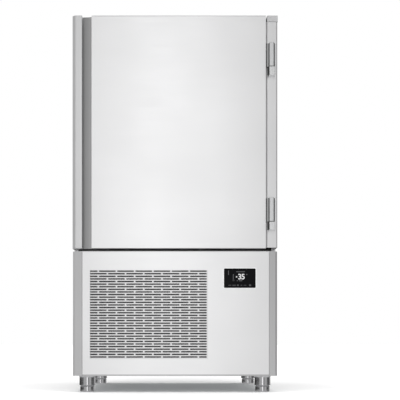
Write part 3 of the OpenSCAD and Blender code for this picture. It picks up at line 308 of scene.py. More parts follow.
def tintBetween(tree, source, dark, light, shader):
    ramp = tree.nodes.new("ShaderNodeValToRGB")
    ramp.color_ramp.elements[0].position = 0.3
    ramp.color_ramp.elements[1].position = 0.7
    ramp.color_ramp.elements[0].color = (*dark, 1)
    ramp.color_ramp.elements[1].color = (*light, 1)
    tree.links.new(source, ramp.inputs["Fac"])
    tree.links.new(ramp.outputs["Color"], shader.inputs["Base Color"])


def addBump(tree, source, shader, strength, distance):
    bump = tree.nodes.new("ShaderNodeBump")
    bump.inputs["Strength"].default_value = strength
    bump.inputs["Distance"].default_value = distance
    tree.links.new(source, bump.inputs["Height"])
    tree.links.new(bump.outputs["Normal"], shader.inputs["Normal"])


def satinSteel(name, tone, rough, grain):
    # rolled and ground sheet: fine lines along the grain, faint cloudy tone, wiped smears
    material, tree, shader = freshMaterial(name, tone, rough, 1.0)
    lines = addNoise(tree, grain, 1.0, 3)
    clouds = addNoise(tree, (1, 1, 1), 3.0, 2)
    smears = addNoise(tree, (5, 5, 2), 1.0, 5)
    darker, lighter = [c * 0.975 for c in tone], [min(1, c * 1.02) for c in tone]
    tintBetween(tree, clouds.outputs["Fac"], darker, lighter, shader)
    both = tree.nodes.new("ShaderNodeMath")
    both.operation = "MULTIPLY_ADD"
    both.inputs[1].default_value = 0.35
    tree.links.new(smears.outputs["Fac"], both.inputs[0])
    tree.links.new(lines.outputs["Fac"], both.inputs[2])
    tree.links.new(spread(tree, both.outputs["Value"], rough - 0.04, rough + 0.03), shader.inputs["Roughness"])
    addBump(tree, lines.outputs["Fac"], shader, 0.02, 0.0003)
    return material


def greyRamp(tree, source, stops):
    # stops are (position, brightness), from position 0 to 1
    ramp = tree.nodes.new("ShaderNodeValToRGB")
    elements = ramp.color_ramp.elements
    elements[0].color = (stops[0][1],) * 3 + (1,)
    elements[1].color = (stops[-1][1],) * 3 + (1,)
    for position, grey in stops[1:-1]:
        elements.new(position).color = (grey, grey, grey, 1)
    tree.links.new(source, ramp.inputs["Fac"])
    return ramp.outputs["Color"]


def dimBy(material, shade):
    # multiplies what the base colour comes from by a shade
    tree = material.node_tree
    shader = tree.nodes["Principled BSDF"]
    multiply = tree.nodes.new("ShaderNodeMix")
    multiply.data_type = "RGBA"
    multiply.blend_type = "MULTIPLY"
    multiply.inputs["Factor"].default_value = 1
    tree.links.new(shader.inputs["Base Color"].links[0].from_socket, multiply.inputs["A"])
    tree.links.new(shade, multiply.inputs["B"])
    tree.links.new(multiply.outputs["Result"], shader.inputs["Base Color"])


def shadeAlong(material, low, high, stops, axis="X"):
    # paints shade into the colour along one of the object's own axes, in folds and recesses that come out too bright
    tree = material.node_tree
    place = tree.nodes.new("ShaderNodeTexCoord")
    split = tree.nodes.new("ShaderNodeSeparateXYZ")
    tree.links.new(place.outputs["Object"], split.inputs["Vector"])
    ranges = tree.nodes.new("ShaderNodeMapRange")
    ranges.inputs["From Min"].default_value = low
    ranges.inputs["From Max"].default_value = high
    tree.links.new(split.outputs[axis], ranges.inputs["Value"])
    dimBy(material, greyRamp(tree, ranges.outputs["Result"], stops))


def dimRound(material, centre, half, least):
    # paints shade into the colour in a rectangle about centre, fading out at half's distance along X and Z
    tree = material.node_tree
    place = tree.nodes.new("ShaderNodeTexCoord")
    scaled = tree.nodes.new("ShaderNodeMapping")
    scaled.vector_type = "TEXTURE"
    scaled.inputs["Location"].default_value = centre
    scaled.inputs["Scale"].default_value = half
    split = tree.nodes.new("ShaderNodeSeparateXYZ")
    tree.links.new(place.outputs["Object"], scaled.inputs["Vector"])
    tree.links.new(scaled.outputs["Vector"], split.inputs["Vector"])
    largest = tree.nodes.new("ShaderNodeMath")
    largest.operation = "MAXIMUM"
    for socket, way in zip(largest.inputs, ("X", "Z")):
        size = tree.nodes.new("ShaderNodeMath")
        size.operation = "ABSOLUTE"
        tree.links.new(split.outputs[way], size.inputs[0])
        tree.links.new(size.outputs["Value"], socket)
    fade = tree.nodes.new("ShaderNodeMapRange")
    fade.interpolation_type = "SMOOTHSTEP"
    fade.inputs["From Min"].default_value = 0.975
    fade.inputs["From Max"].default_value = 1.01
    fade.inputs["To Min"].default_value = least
    fade.inputs["To Max"].default_value = 1
    tree.links.new(largest.outputs["Value"], fade.inputs["Value"])
    dimBy(material, fade.outputs["Result"])


def polishedSteel(name, tone, rough):
    material, tree, shader = freshMaterial(name, tone, rough, 1.0)
    smears = addNoise(tree, (1, 1, 6), 40, 3)
    tree.links.new(spread(tree, smears.outputs["Fac"], rough * 0.8, rough * 1.3), shader.inputs["Roughness"])
    addBump(tree, smears.outputs["Fac"], shader, 0.03, 0.0003)
    return material


def mouldedPlastic(name, dark, light, rough, scale=900):
    material, tree, shader = freshMaterial(name, light, rough)
    pores = addNoise(tree, (1, 1, 1), scale, 2)
    clouds = addNoise(tree, (1, 1, 1), 12, 3)
    tintBetween(tree, clouds.outputs["Fac"], dark, light, shader)
    tree.links.new(spread(tree, pores.outputs["Fac"], rough - 0.06, rough + 0.06), shader.inputs["Roughness"])
    addBump(tree, pores.outputs["Fac"], shader, 0.12, 0.0002)
    return material


def paintedMetal(name, dark, light, rough):
    material, tree, shader = freshMaterial(name, light, rough)
    peel = addNoise(tree, (1, 1, 1), 260, 2)
    tintBetween(tree, peel.outputs["Fac"], dark, light, shader)
    shader.inputs["Coat Weight"].default_value = 0.25
    shader.inputs["Coat Roughness"].default_value = 0.2
    addBump(tree, peel.outputs["Fac"], shader, 0.08, 0.0003)
    return material


def spangledZinc(name):
    material, tree, shader = freshMaterial(name, (0.5, 0.52, 0.53), 0.5, 0.7)
    place = tree.nodes.new("ShaderNodeTexCoord")
    cells = tree.nodes.new("ShaderNodeTexVoronoi")
    cells.inputs["Scale"].default_value = 90
    tree.links.new(place.outputs["Object"], cells.inputs["Vector"])
    grey = tree.nodes.new("ShaderNodeRGBToBW")
    tree.links.new(cells.outputs["Color"], grey.inputs["Color"])
    tintBetween(tree, grey.outputs["Val"], (0.42, 0.44, 0.45), (0.6, 0.62, 0.63), shader)
    tree.links.new(spread(tree, grey.outputs["Val"], 0.4, 0.55), shader.inputs["Roughness"])
    return material


def copperTube(name):
    material, tree, shader = freshMaterial(name, (0.75, 0.36, 0.2), 0.3, 1.0)
    stain = addNoise(tree, (1, 1, 1), 25, 5)
    tintBetween(tree, stain.outputs["Fac"], (0.5, 0.22, 0.12), (0.85, 0.45, 0.28), shader)
    tree.links.new(spread(tree, stain.outputs["Fac"], 0.22, 0.45), shader.inputs["Roughness"])
    return material


def foamRigid(name):
    material, tree, shader = freshMaterial(name, (0.83, 0.72, 0.45), 0.9)
    cells = addNoise(tree, (1, 1, 1), 500, 4)
    tintBetween(tree, cells.outputs["Fac"], (0.7, 0.58, 0.33), (0.88, 0.78, 0.5), shader)
    addBump(tree, cells.outputs["Fac"], shader, 0.3, 0.0006)
    return material


def circuitBoard(name):
    material, tree, shader = freshMaterial(name, (0.03, 0.2, 0.08), 0.4)
    place = tree.nodes.new("ShaderNodeTexCoord")
    tracks = tree.nodes.new("ShaderNodeTexBrick")
    tracks.inputs["Scale"].default_value = 160
    tree.links.new(place.outputs["Object"], tracks.inputs["Vector"])
    tree.links.new(tracks.outputs["Fac"], shader.inputs["Roughness"])
    tintBetween(tree, tracks.outputs["Fac"], (0.02, 0.16, 0.06), (0.12, 0.3, 0.12), shader)
    return material


def blackGlass(name):
    material, tree, shader = freshMaterial(name, (0.003, 0.003, 0.0035), 0.08)
    shader.inputs["Specular IOR Level"].default_value = 0.08
    film = addNoise(tree, (1, 1, 1), 30, 3)
    tree.links.new(spread(tree, film.outputs["Fac"], 0.06, 0.14), shader.inputs["Roughness"])
    return material


def glowingMark(name, colour, strength):
    material, tree, shader = freshMaterial(name, colour, 0.5)
    glow = addNoise(tree, (1, 1, 1), 600, 1)
    tintBetween(tree, glow.outputs["Fac"], [c * 0.9 for c in colour], colour, shader)
    shader.inputs["Emission Color"].default_value = (*colour, 1)
    shader.inputs["Emission Strength"].default_value = strength
    return material


acrossGrain = (6, 6, 900)       # lines run level on upright sheets
uprightGrain = (900, 900, 6)
frontTone, frontRough = (0.86, 0.86, 0.865), 0.34
frontSteel = satinSteel("frontSteel", frontTone, frontRough, acrossGrain)
grilleSteel = satinSteel("grilleSteel", frontTone, frontRough, acrossGrain)
# painted shade: a dark line along the front panel's bottom fold
shadeAlong(grilleSteel, 0.066, 0.072, [(0.0, 0.58), (0.5, 0.64), (0.8, 1.0), (1.0, 1.0)], "Z")    # bottom fold
# painted shade: the grille's field is dimmed to stand in for the dark seen through its slots
dimRound(grilleSteel, (-0.101, 0, 0.3005), (0.228, 1, 0.172), 0.82)
sideSteel = satinSteel("sideSteel", (0.8, 0.8, 0.805), 0.36, uprightGrain)
gripSteel = satinSteel("gripSteel", (0.74, 0.74, 0.745), 0.38, uprightGrain)
# painted shade: the grip's recess is dimmed, darkest by the lip and lighter towards the door's face
shadeAlong(gripSteel, -0.395, -0.321, [
    (0.0, 1.0), (0.5, 1.0), (0.53, 0.54), (0.8, 0.62), (0.97, 0.78), (1.0, 1.0)])
innerSteel = satinSteel("innerSteel", (0.8, 0.81, 0.82), 0.3, acrossGrain)
footSteel = polishedSteel("footSteel", (0.52, 0.52, 0.53), 0.14)
wireSteel = polishedSteel("wireSteel", (0.75, 0.76, 0.77), 0.2)
hingeMetal = polishedSteel("hingeMetal", (0.74, 0.745, 0.75), 0.3)
hingeArm = satinSteel("hingeArm", (0.7, 0.705, 0.71), 0.32, (60, 60, 60))
# painted shade: the set-back bridge beside the door's hinge blocks and the blocks' right facets are dimmed
shadeAlong(hingeArm, 0.349, 0.384, [
    (0.0, 0.52), (0.27, 0.58), (0.34, 0.95), (0.4, 1.0), (0.76, 1.0), (0.8, 0.55), (1.0, 0.5)])
capPlastic = mouldedPlastic("capPlastic", (0.32, 0.32, 0.325), (0.37, 0.37, 0.375), 0.5)
bezelPlastic = mouldedPlastic("bezelPlastic", (0.9, 0.9, 0.9), (0.95, 0.95, 0.95), 0.35)
blackPlastic = mouldedPlastic("blackPlastic", (0.012, 0.012, 0.012), (0.03, 0.03, 0.03), 0.5)
gasketRubber = mouldedPlastic("gasketRubber", (0.03, 0.03, 0.032), (0.06, 0.06, 0.062), 0.6, 500)
filterFibre = mouldedPlastic("filterFibre", (0.02, 0.02, 0.021), (0.04, 0.04, 0.042), 0.85, 700)
mountRubber = mouldedPlastic("mountRubber", (0.01, 0.01, 0.01), (0.025, 0.025, 0.025), 0.7, 400)
foamYellow = foamRigid("foamYellow")
zincSheet = spangledZinc("zincSheet")
finAluminium = satinSteel("finAluminium", (0.75, 0.76, 0.78), 0.4, (40, 40, 40))
copperPipe = copperTube("copperPipe")
blackEnamel = paintedMetal("blackEnamel", (0.01, 0.01, 0.01), (0.025, 0.025, 0.026), 0.35)
greyEnamel = paintedMetal("greyEnamel", (0.42, 0.43, 0.44), (0.55, 0.55, 0.56), 0.4)
motorEnamel = paintedMetal("motorEnamel", (0.07, 0.07, 0.075), (0.12, 0.12, 0.13), 0.4)
boardGreen = circuitBoard("boardGreen")
glassBlack = blackGlass("glassBlack")
digitLight = glowingMark("digitLight", (0.46, 0.46, 0.46), 0.3)
iconDim = glowingMark("iconDim", (0.05, 0.05, 0.053), 0.04)
barDim = glowingMark("barDim", (0.03, 0.03, 0.033), 0.02)
print("materials made:", len(bpy.data.materials))

# CAD nodes by their record's slot, then the few that need another finish
slotMaterials = {
    "satin_steel": sideSteel, "polished_steel": footSteel, "hinge_metal": hingeMetal, "cap_grey": capPlastic,
    "black_plastic": blackPlastic, "foam": foamYellow, "gasket": gasketRubber, "black_rubber": mountRubber,
    "galvanised": zincSheet, "fins": finAluminium, "copper": copperPipe, "black_paint": blackEnamel,
    "grey_paint": greyEnamel, "motor_grey": motorEnamel, "board_green": boardGreen, "black_glass": glassBlack,
}
ownMaterials = {
    "front_panel": grilleSteel, "door_inner_panel": innerSteel, "chamber_liner": innerSteel, "fan_panel": innerSteel,
    "drip_pan": innerSteel, "fan_guards": wireSteel, "display_housing": bezelPlastic,
}
for part in frame["record"]["subparts"]:
    node = frame["nodes"][part["node"]]
    node.data.materials.clear()
    node.data.materials.append(ownMaterials.get(part["node"], slotMaterials[part["material_slot"]]))


# camera at the photograph's place, soft lights, white floor
view = {
    "place": (-0.0194, -3.676, 0.2023), "pixelsPerRadian": 858.5, "frame": 400,
    "axisAcross": 170, "axisDown": 340, "sensor": 36,
}
eye = bpy.data.cameras.new("photoCamera")
eye.sensor_width = view["sensor"]
eye.lens = view["sensor"] * view["pixelsPerRadian"] / view["frame"]
eye.shift_x = (view["frame"] / 2 - view["axisAcross"]) / view["frame"]
eye.shift_y = (view["axisDown"] - view["frame"] / 2) / view["frame"]
eye.clip_end = 100
camera = bpy.data.objects.new("photoCamera", eye)
camera.location = view["place"]
camera.rotation_euler = (math.pi / 2, 0, 0)
bpy.context.scene.collection.objects.link(camera)
bpy.context.scene.camera = camera
bpy.context.scene.view_settings.view_transform = "Standard"


def addLamp(name, kind, place, aim, strength):
    lamp = bpy.data.lights.new(name, kind)
    lamp.energy = strength
    holder = bpy.data.objects.new(name, lamp)
    holder.location = place
    holder.rotation_euler = (Vector(aim) - Vector(place)).to_track_quat("-Z", "Y").to_euler()
    bpy.context.scene.collection.objects.link(holder)
    return holder


light = {
    "dome": 2.8, "domeAngle": 110, "domeFrom": (0, -3.0, 6),
    "front": 37, "frontWide": 1.25, "frontHigh": 7.0, "frontAcross": -0.12, "frontAway": -6.0, "frontUp": 2.6,
    "around": 0.55,
}
dome = addLamp("softDome", "SUN", light["domeFrom"], (0, 0, 0), light["dome"])
dome.data.angle = math.radians(light["domeAngle"])
dome.visible_glossy = False     # it lights the floor and the dull pieces only
front = addLamp("frontBox", "AREA", (light["frontAcross"], light["frontAway"], light["frontUp"]),
                (light["frontAcross"], 0, light["frontUp"]), light["front"])
front.data.shape = "RECTANGLE"
front.data.size, front.data.size_y = light["frontWide"], light["frontHigh"]

# the studio as steel reflects it, as (turn in degrees from the front, brightness)
studio = {
    "level": [(-180, 0.4), (-140, 0.48), (-100, 0.6), (-45, 0.6), (-20, 0.57), (20, 0.57), (45, 0.54),
              (75, 0.34), (140, 0.26), (180, 0.4)],
    "bands": [(-180, 0.03), (-64, 0.03), (-40, 0.66), (8, 0.66), (12, 0.36), (28, 0.36), (33, 0.66),
              (58, 0.66), (66, 0.1), (112, 0.1), (120, 0.6), (180, 0.6)],
    "below": [(-180, 0.45), (-120, 0.6), (-70, 0.8), (-30, 0.66), (5, 0.95), (40, 0.75), (75, 0.85),
              (120, 0.55), (180, 0.45)],
    "above": [(-180, 0.72), (-120, 0.62), (-90, 0.5), (-45, 0.03), (45, 0.03), (90, 0.5), (120, 0.62),
              (180, 0.72)],
    "bandsAt": -0.055, "bandsFade": (0.025, 0.06), "belowFade": (-0.12, -0.3), "aboveFade": (0.42, 0.62),
}
sky = bpy.data.worlds.new("studioWhite")
bpy.context.scene.world = sky
sky.use_nodes = True
skyTree = sky.node_tree


def skyMath(operation, first, second=None):
    node = skyTree.nodes.new("ShaderNodeMath")
    node.operation = operation
    for socket, value in zip(node.inputs, (first, second)):
        if isinstance(value, (int, float)):
            socket.default_value = value
        elif value is not None:
            skyTree.links.new(value, socket)
    return node.outputs["Value"]


def skyRamp(source, stops):
    return greyRamp(skyTree, source, [(turn / 360 + 0.5, grey) for turn, grey in stops])


def skyFade(source, low, high, kind="LINEAR"):
    fade = skyTree.nodes.new("ShaderNodeMapRange")
    fade.interpolation_type = kind
    fade.inputs["From Min"].default_value = low
    fade.inputs["From Max"].default_value = high
    skyTree.links.new(source, fade.inputs["Value"])
    return fade.outputs["Result"]


def skyMix(fade, first, second):
    mix = skyTree.nodes.new("ShaderNodeMix")
    mix.data_type = "RGBA"
    for socket, value in (("Factor", fade), ("A", first), ("B", second)):
        skyTree.links.new(value, mix.inputs[socket])
    return mix.outputs["Result"]


# level surroundings with narrow bands, then what lies below and above them
lookWay = skyTree.nodes.new("ShaderNodeTexCoord")
split = skyTree.nodes.new("ShaderNodeSeparateXYZ")
skyTree.links.new(lookWay.outputs["Generated"], split.inputs["Vector"])
turned = skyMath("ARCTAN2", split.outputs["X"], skyMath("MULTIPLY", split.outputs["Y"], -1))
around = skyMath("MULTIPLY_ADD", turned, 1 / (2 * math.pi))
around.node.inputs[2].default_value = 0.5
height = split.outputs["Z"]
fromBands = skyMath("ABSOLUTE", skyMath("ADD", height, -studio["bandsAt"]))
seen = skyMix(skyFade(fromBands, *studio["bandsFade"], "SMOOTHSTEP"),
              skyRamp(around, studio["bands"]), skyRamp(around, studio["level"]))
seen = skyMix(skyFade(height, *studio["belowFade"]), seen, skyRamp(around, studio["below"]))
seen = skyMix(skyFade(height, *studio["aboveFade"]), seen, skyRamp(around, studio["above"]))


def background(colour, strength):
    node = skyTree.nodes.new("ShaderNodeBackground")
    node.inputs["Strength"].default_value = strength
    if isinstance(colour, tuple):
        node.inputs["Color"].default_value = colour
    else:
        skyTree.links.new(colour, node.inputs["Color"])
    return node.outputs["Background"]


def chooseByRay(ray, otherwise, chosen):
    rays = skyTree.nodes.new("ShaderNodeLightPath")
    mix = skyTree.nodes.new("ShaderNodeMixShader")
    skyTree.links.new(rays.outputs[ray], mix.inputs["Fac"])
    skyTree.links.new(otherwise, mix.inputs[1])
    skyTree.links.new(chosen, mix.inputs[2])
    return mix.outputs["Shader"]


white = (1, 1, 1, 1)
litWorld = chooseByRay("Is Glossy Ray", background(white, light["around"]), background(seen, 1))
skyTree.links.new(chooseByRay("Is Camera Ray", litWorld, background(white, 1)),
                  skyTree.nodes["World Output"].inputs["Surface"])

stageFloor = {"size": 60, "tone": 0.92, "spread": 0.005, "glow": 0.03}
clearSelection()
bpy.ops.mesh.primitive_plane_add(size=stageFloor["size"], location=(0, 0, 0))
floor = bpy.context.object
floor.name = "studioFloor"
floor.visible_glossy = False    # steel sees the studio's bands instead
floorWhite, floorTree, floorShader = freshMaterial("floorWhite", (stageFloor["tone"],) * 3, 0.9)
floorShader.inputs["Specular IOR Level"].default_value = 0.1
floorShader.inputs["Emission Color"].default_value = white
floorShader.inputs["Emission Strength"].default_value = stageFloor["glow"]
tintBetween(floorTree, addNoise(floorTree, (1, 1, 1), 2, 2).outputs["Fac"],
            (stageFloor["tone"] - stageFloor["spread"],) * 3, (stageFloor["tone"] + stageFloor["spread"],) * 3,
            floorShader)
floor.data.materials.append(floorWhite)
print("camera, lights and floor ready")


# door: skin, grip, end caps, inner panel and gasket
doorSheet = {"sheet": 0.0012, "fold": 0.003, "foldSteps": 5, "edge": 0.0014, "edgeSteps": 4}
grip = {
    "wall": 0.0012, "lip": 0.038, "recess": 0.036, "deep": 0.022, "slantX": 0.011, "slantY": 0.009,
    "lipEnd": 0.002, "neck": 0.001, "underBack": 0.014, "underRound": 0.006, "floorRise": 0.006,
    "play": 0.0005, "backRound": 0.0008, "endRound": 0.0006,
}
skinLow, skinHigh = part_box("door_skin")
gripLow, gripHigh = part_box("door_grip_profile")
left, front, back = gripLow[0], gripLow[1], gripHigh[1]
lipX = left + grip["lip"]
skinX = lipX + grip["recess"]
floorY = front + grip["deep"]
undercutX = lipX - grip["underBack"]
neckY = front + 2 * grip["lipEnd"] + grip["neck"]
returnEnd = floorY - grip["floorRise"]

doorSkin = block("doorSkin", skinLow, skinHigh)
bevelEdges(doorSkin, doorSheet["fold"], doorSheet["foldSteps"],
           lambda edge: middle(edge).y < skinLow[1] + nearly and not uprightEdge(edge))
bevelEdges(doorSkin, doorSheet["edge"], doorSheet["edgeSteps"],
           lambda edge: middle(edge).y < skinLow[1] + nearly and uprightEdge(edge))
openFaces(doorSkin, lambda face: face.normal.y > 0.9)
bpy.ops.mesh.delete(type="FACE")
endEdit()
# the left return ends on the grip's floor
openFaces(doorSkin, lambda face: face.normal.x < -0.9)
bpy.ops.mesh.bisect(plane_co=(0, returnEnd, 0), plane_no=(0, 1, 0))
endEdit()
openFaces(doorSkin, lambda face: face.normal.x < -0.9 and middle(face).y > returnEnd)
bpy.ops.mesh.delete(type="FACE")
endEdit()
thicken(doorSkin, doorSheet["sheet"])
dress(doorSkin, frontSteel, "door", ["door_skin"])

# plan of the grip; the smallest steps soften its folds
gripOutline = (
    [(left, back), (left, front + grip["slantY"] + 0.0012), (left + 0.0004, front + grip["slantY"] - 0.0002)]
    + [(left + grip["slantX"] - 0.0012, front + 0.0009), (left + grip["slantX"], front + 0.0002)]
    + [(left + grip["slantX"] + 0.0014, front)]
    + arcPoints((lipX - grip["lipEnd"], front + grip["lipEnd"]), grip["lipEnd"], -90, 90, 10)
    + [(undercutX + grip["neck"], neckY)]
    + arcPoints((undercutX, neckY + grip["underRound"]), grip["underRound"], 270, 180, 8)
    + arcPoints((undercutX, floorY - grip["underRound"]), grip["underRound"], 180, 90, 8)
    + [(skinX - 0.010, floorY - 0.003), (skinX, returnEnd)]
)
gripSheet = foldSheet("gripProfile", gripOutline, gripLow[2], gripHigh[2])
thicken(gripSheet, grip["wall"])
dress(gripSheet, gripSteel, "door", smooth=25)
gripBack = block("gripBack", (left + grip["play"], floorY + grip["play"], gripLow[2] + grip["play"]),
                 (skinX - grip["play"], back, gripHigh[2] - grip["play"]))
bevelEdges(gripBack, grip["backRound"], 2)
dress(gripBack, gripSteel, "door")
gripPiece = joinPieces([gripSheet, gripBack], "gripProfile")
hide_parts("door_grip_profile")

endLow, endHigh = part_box("door_end_caps")
endCaps = []
for low, high in ((endLow[2], gripLow[2]), (gripHigh[2], endHigh[2])):
    cap = slab("doorEndCap", gripOutline + [(skinX, back)], low, high)
    bevelEdges(cap, grip["endRound"], 2, lambda edge: reach(edge, 2) < 0.0001)
    endCaps.append(cap)
dress(joinPieces(endCaps, "doorEndCaps"), gripSteel, "door", ["door_end_caps"])
print("door skin and grip made")

innerPanel = {"sheet": 0.0012, "fieldEdge": 0.01, "slope": 0.001, "press": 0.004, "round": 0.0014}
panelLow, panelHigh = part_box("door_inner_panel")
chamberLow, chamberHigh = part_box("chamber_liner")
faceY = panelHigh[1] - innerPanel["press"]
panel = facePlate("doorInnerPanel", (panelLow[0], faceY, panelLow[2]), panelHigh)
fieldX = chamberHigh[0] - innerPanel["fieldEdge"]
fieldLow, fieldHigh = chamberLow[2] + innerPanel["fieldEdge"], chamberHigh[2] - innerPanel["fieldEdge"]
for place, across in (((fieldX, 0, 0), (1, 0, 0)), ((-fieldX, 0, 0), (1, 0, 0)),
                      ((0, 0, fieldLow), (0, 0, 1)), ((0, 0, fieldHigh), (0, 0, 1))):
    cutAt(panel, place, across)
openFaces(panel, lambda face: abs(middle(face).x) < 0.1 and fieldLow < middle(face).z < fieldHigh)
bpy.ops.mesh.inset(thickness=innerPanel["slope"])
bpy.ops.transform.translate(value=(0, innerPanel["press"], 0))
endEdit()
bevelEdges(panel, innerPanel["round"], 3)
thicken(panel, innerPanel["sheet"])
dress(panel, innerSteel, "door", ["door_inner_panel"])

gasket = {
    "foot": 0.003, "width": 0.011, "neck": 0.0018, "neckHigh": 0.0012, "lipOut": 0.001,
    "lipIn": 0.003, "lipDip": 0.0008, "edge": 0.0005,
}
gasketLow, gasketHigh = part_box("door_gasket")
seal = ringPlate("doorGasket", gasketLow, gasketHigh, gasket["width"])
startEdit(seal)
bpy.ops.mesh.select_all(action="SELECT")
bpy.ops.mesh.extrude_region_move(TRANSFORM_OT_translate={"value": (0, gasket["foot"], 0)})
bpy.ops.mesh.inset(thickness=gasket["neck"], use_boundary=True)
bpy.ops.mesh.extrude_region_move(TRANSFORM_OT_translate={"value": (0, gasket["neckHigh"], 0)})
bpy.ops.mesh.inset(thickness=gasket["lipOut"], use_outset=True)
rest = gasketHigh[1] - gasketLow[1] - gasket["foot"] - gasket["neckHigh"]
bpy.ops.mesh.extrude_region_move(TRANSFORM_OT_translate={"value": (0, rest, 0)})
bpy.ops.mesh.inset(thickness=gasket["lipIn"], use_boundary=True)
bpy.ops.transform.translate(value=(0, -gasket["lipDip"], 0))
endEdit()
bevelEdges(seal, gasket["edge"], 2)
dress(seal, gasketRubber, "door", ["door_gasket"])
print("inner panel and gasket made")


# hinge post and hinges
post = {
    "round": 0.003, "roundRight": 0.0055, "wall": 0.002, "seam": 0.0016, "seamEnd": 0.01, "seamStart": 0.0032,
    "capRound": 0.002, "capEdge": 0.0012,
}
postLow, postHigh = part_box("hinge_post")
seamX = postLow[0] - post["seam"]
postOutline = (
    [(postLow[0], postHigh[1]), (postLow[0], postLow[1] + post["seamEnd"])]
    + [(seamX, postLow[1] + 0.009), (seamX, postLow[1] + 0.0036)]
    + [(postLow[0], postLow[1] + post["seamStart"])]
    + arcPoints((postLow[0] + post["round"], postLow[1] + post["round"]), post["round"], 180, 270, 8)
    + arcPoints((postHigh[0] - post["roundRight"], postLow[1] + post["roundRight"]), post["roundRight"], 270, 360, 10)
    + [(postHigh[0], postHigh[1])]
)
postSheet = foldSheet("hingePost", postOutline, postLow[2], postHigh[2])
thicken(postSheet, post["wall"])
dress(postSheet, sideSteel, "cabinet", ["hinge_post"])

capLow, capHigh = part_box("hinge_post_cap")
postCap = block("postCap", (capLow[0], capLow[1], postHigh[2]), capHigh)
bevelEdges(postCap, post["capRound"], 6, lambda edge: abs(middle(edge).z - (postHigh[2] + capHigh[2]) / 2) < nearly)
bevelEdges(postCap, post["capEdge"], 3, lambda edge: middle(edge).z > capHigh[2] - nearly / 2)
dress(postCap, capPlastic, "cabinet", ["hinge_post_cap"])

hinge = {
    "high": 0.09, "wide": 0.027, "standOff": 0.0035, "slantLeft": 0.0044, "slantRight": 0.0075, "round": 0.0012,
    "edge": 0.0008, "bridge": 0.0045, "leaf": 0.003, "plateEdge": 0.0005, "overlap": 0.002,
}
frameBlock = {"high": 0.032, "round": 0.002, "edge": 0.0015, "roundDeep": 0.02}
wearStrip = {"wide": 0.0055, "deep": 0.014, "in": 0.002, "above": 0.001, "below": 0.0005, "edge": 0.0012}
washer = {"thick": 0.0015, "bore": 0.00405, "radius": 0.007, "edge": 0.0002}
blockLow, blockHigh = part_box("hinge_door_blocks")
frameLow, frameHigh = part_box("hinge_frame_blocks")
pinAt = (0.3705, -0.39275)      # the door's joint, seen from above
blockX1 = blockHigh[0]
blockX0 = blockX1 - hinge["wide"]
blockBack = skinLow[1] - hinge["standOff"]
bodyPlan = [(blockX0, blockBack), (blockX0 + hinge["slantLeft"], blockLow[1]),
            (blockX1 - hinge["slantRight"], blockLow[1]), (blockX1, blockBack)]
blocks, bases, strips = [], [], []
for bottom in (blockLow[2], blockHigh[2] - hinge["high"]):
    top = bottom + hinge["high"]
    body = slab("hingeBody", bodyPlan, bottom, top)
    bevelEdges(body, hinge["round"], 4, lambda edge: uprightEdge(edge) and middle(edge).y < blockLow[1] + nearly)
    bevelEdges(body, hinge["edge"], 3, lambda edge: not uprightEdge(edge))
    bridge = block("hingeBridge", (blockLow[0], blockBack - hinge["bridge"], bottom),
                   (blockX0 + hinge["overlap"], blockBack, top))
    leaf = block("hingeLeaf", (blockLow[0], blockBack - hinge["bridge"], bottom),
                 (blockLow[0] + hinge["leaf"], blockHigh[1], top))
    for plate in (bridge, leaf):
        bevelEdges(plate, hinge["plateEdge"], 2)
    blocks += [body, bridge, leaf]

    baseTop = bottom - washer["thick"]
    baseFoot = baseTop - frameBlock["high"]
    base = block("hingeBase", (frameLow[0], frameLow[1], baseFoot), (frameHigh[0], frameHigh[1], baseTop))
    bevelEdges(base, frameBlock["round"], 5,
               lambda edge: uprightEdge(edge) and middle(edge).y < frameLow[1] + nearly)
    bevelEdges(base, frameBlock["edge"], 4,
               lambda edge: not uprightEdge(edge) and middle(edge).y < frameLow[1] + frameBlock["roundDeep"])
    bases.append(base)

    stripY = frameLow[1] + wearStrip["in"] + wearStrip["wide"] / 2
    strip = block("wearStrip",
                  (frameLow[0] - wearStrip["wide"], stripY - wearStrip["wide"] / 2, baseFoot + wearStrip["above"]),
                  (frameLow[0], stripY + wearStrip["deep"], baseTop - wearStrip["below"]))
    bevelEdges(strip, wearStrip["wide"] * 0.48, 8, lambda edge: uprightEdge(edge) and middle(edge).y < stripY)
    bevelEdges(strip, wearStrip["edge"], 3, lambda edge: not uprightEdge(edge))
    bore, radius, edge = washer["bore"], washer["radius"], washer["edge"]
    ring = turnProfile("hingeWasher", pinAt, [
        (bore, baseTop + 0.0001), (radius - edge, baseTop + 0.0001), (radius, baseTop + 2 * edge),
        (radius, bottom - 2 * edge), (radius - edge, bottom - edge), (bore, bottom - edge), (bore, baseTop + 0.0001)])
    strips += [strip, ring]
dress(joinPieces(blocks, "doorHingeBlocks"), hingeArm, "door", ["hinge_door_blocks"])
dress(joinPieces(bases, "frameHingeBlocks"), hingeMetal, "cabinet",
      ["hinge_frame_blocks"])
dress(joinPieces(strips, "hingeWearParts"), blackPlastic, "cabinet", ["hinge_bushes"])
print("post and hinges made")


# lower section: corner bands, grille's filter
band = {
    "slant": 22, "round": 0.016, "leftFront": 0.357, "rightFront": 0.362, "halfWidth": 0.395, "sheet": 0.0012,
    "return": 0.0184, "seam": 0.0012,
}
sideLow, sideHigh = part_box("lower_side_panel_left")
frontY = sideLow[1]


def bandOutline(frontX, backY):
    # plan of one corner from the front panel's edge round to the back, drawn for the right side
    turn = math.radians(band["slant"])
    centreX = band["halfWidth"] - band["round"]
    slantEnd = centreX + band["round"] * math.sin(turn)
    centreY = frontY + (slantEnd - frontX) * math.tan(turn) + band["round"] * math.cos(turn)
    corner = arcPoints((centreX, centreY), band["round"], -90 + band["slant"], 0, 16)
    start = [(frontX, frontY + band["return"]), (frontX, frontY + band["seam"]),
             (frontX + band["seam"] / 2, frontY + band["seam"] / 4)]
    return start + corner + [(band["halfWidth"], backY)]


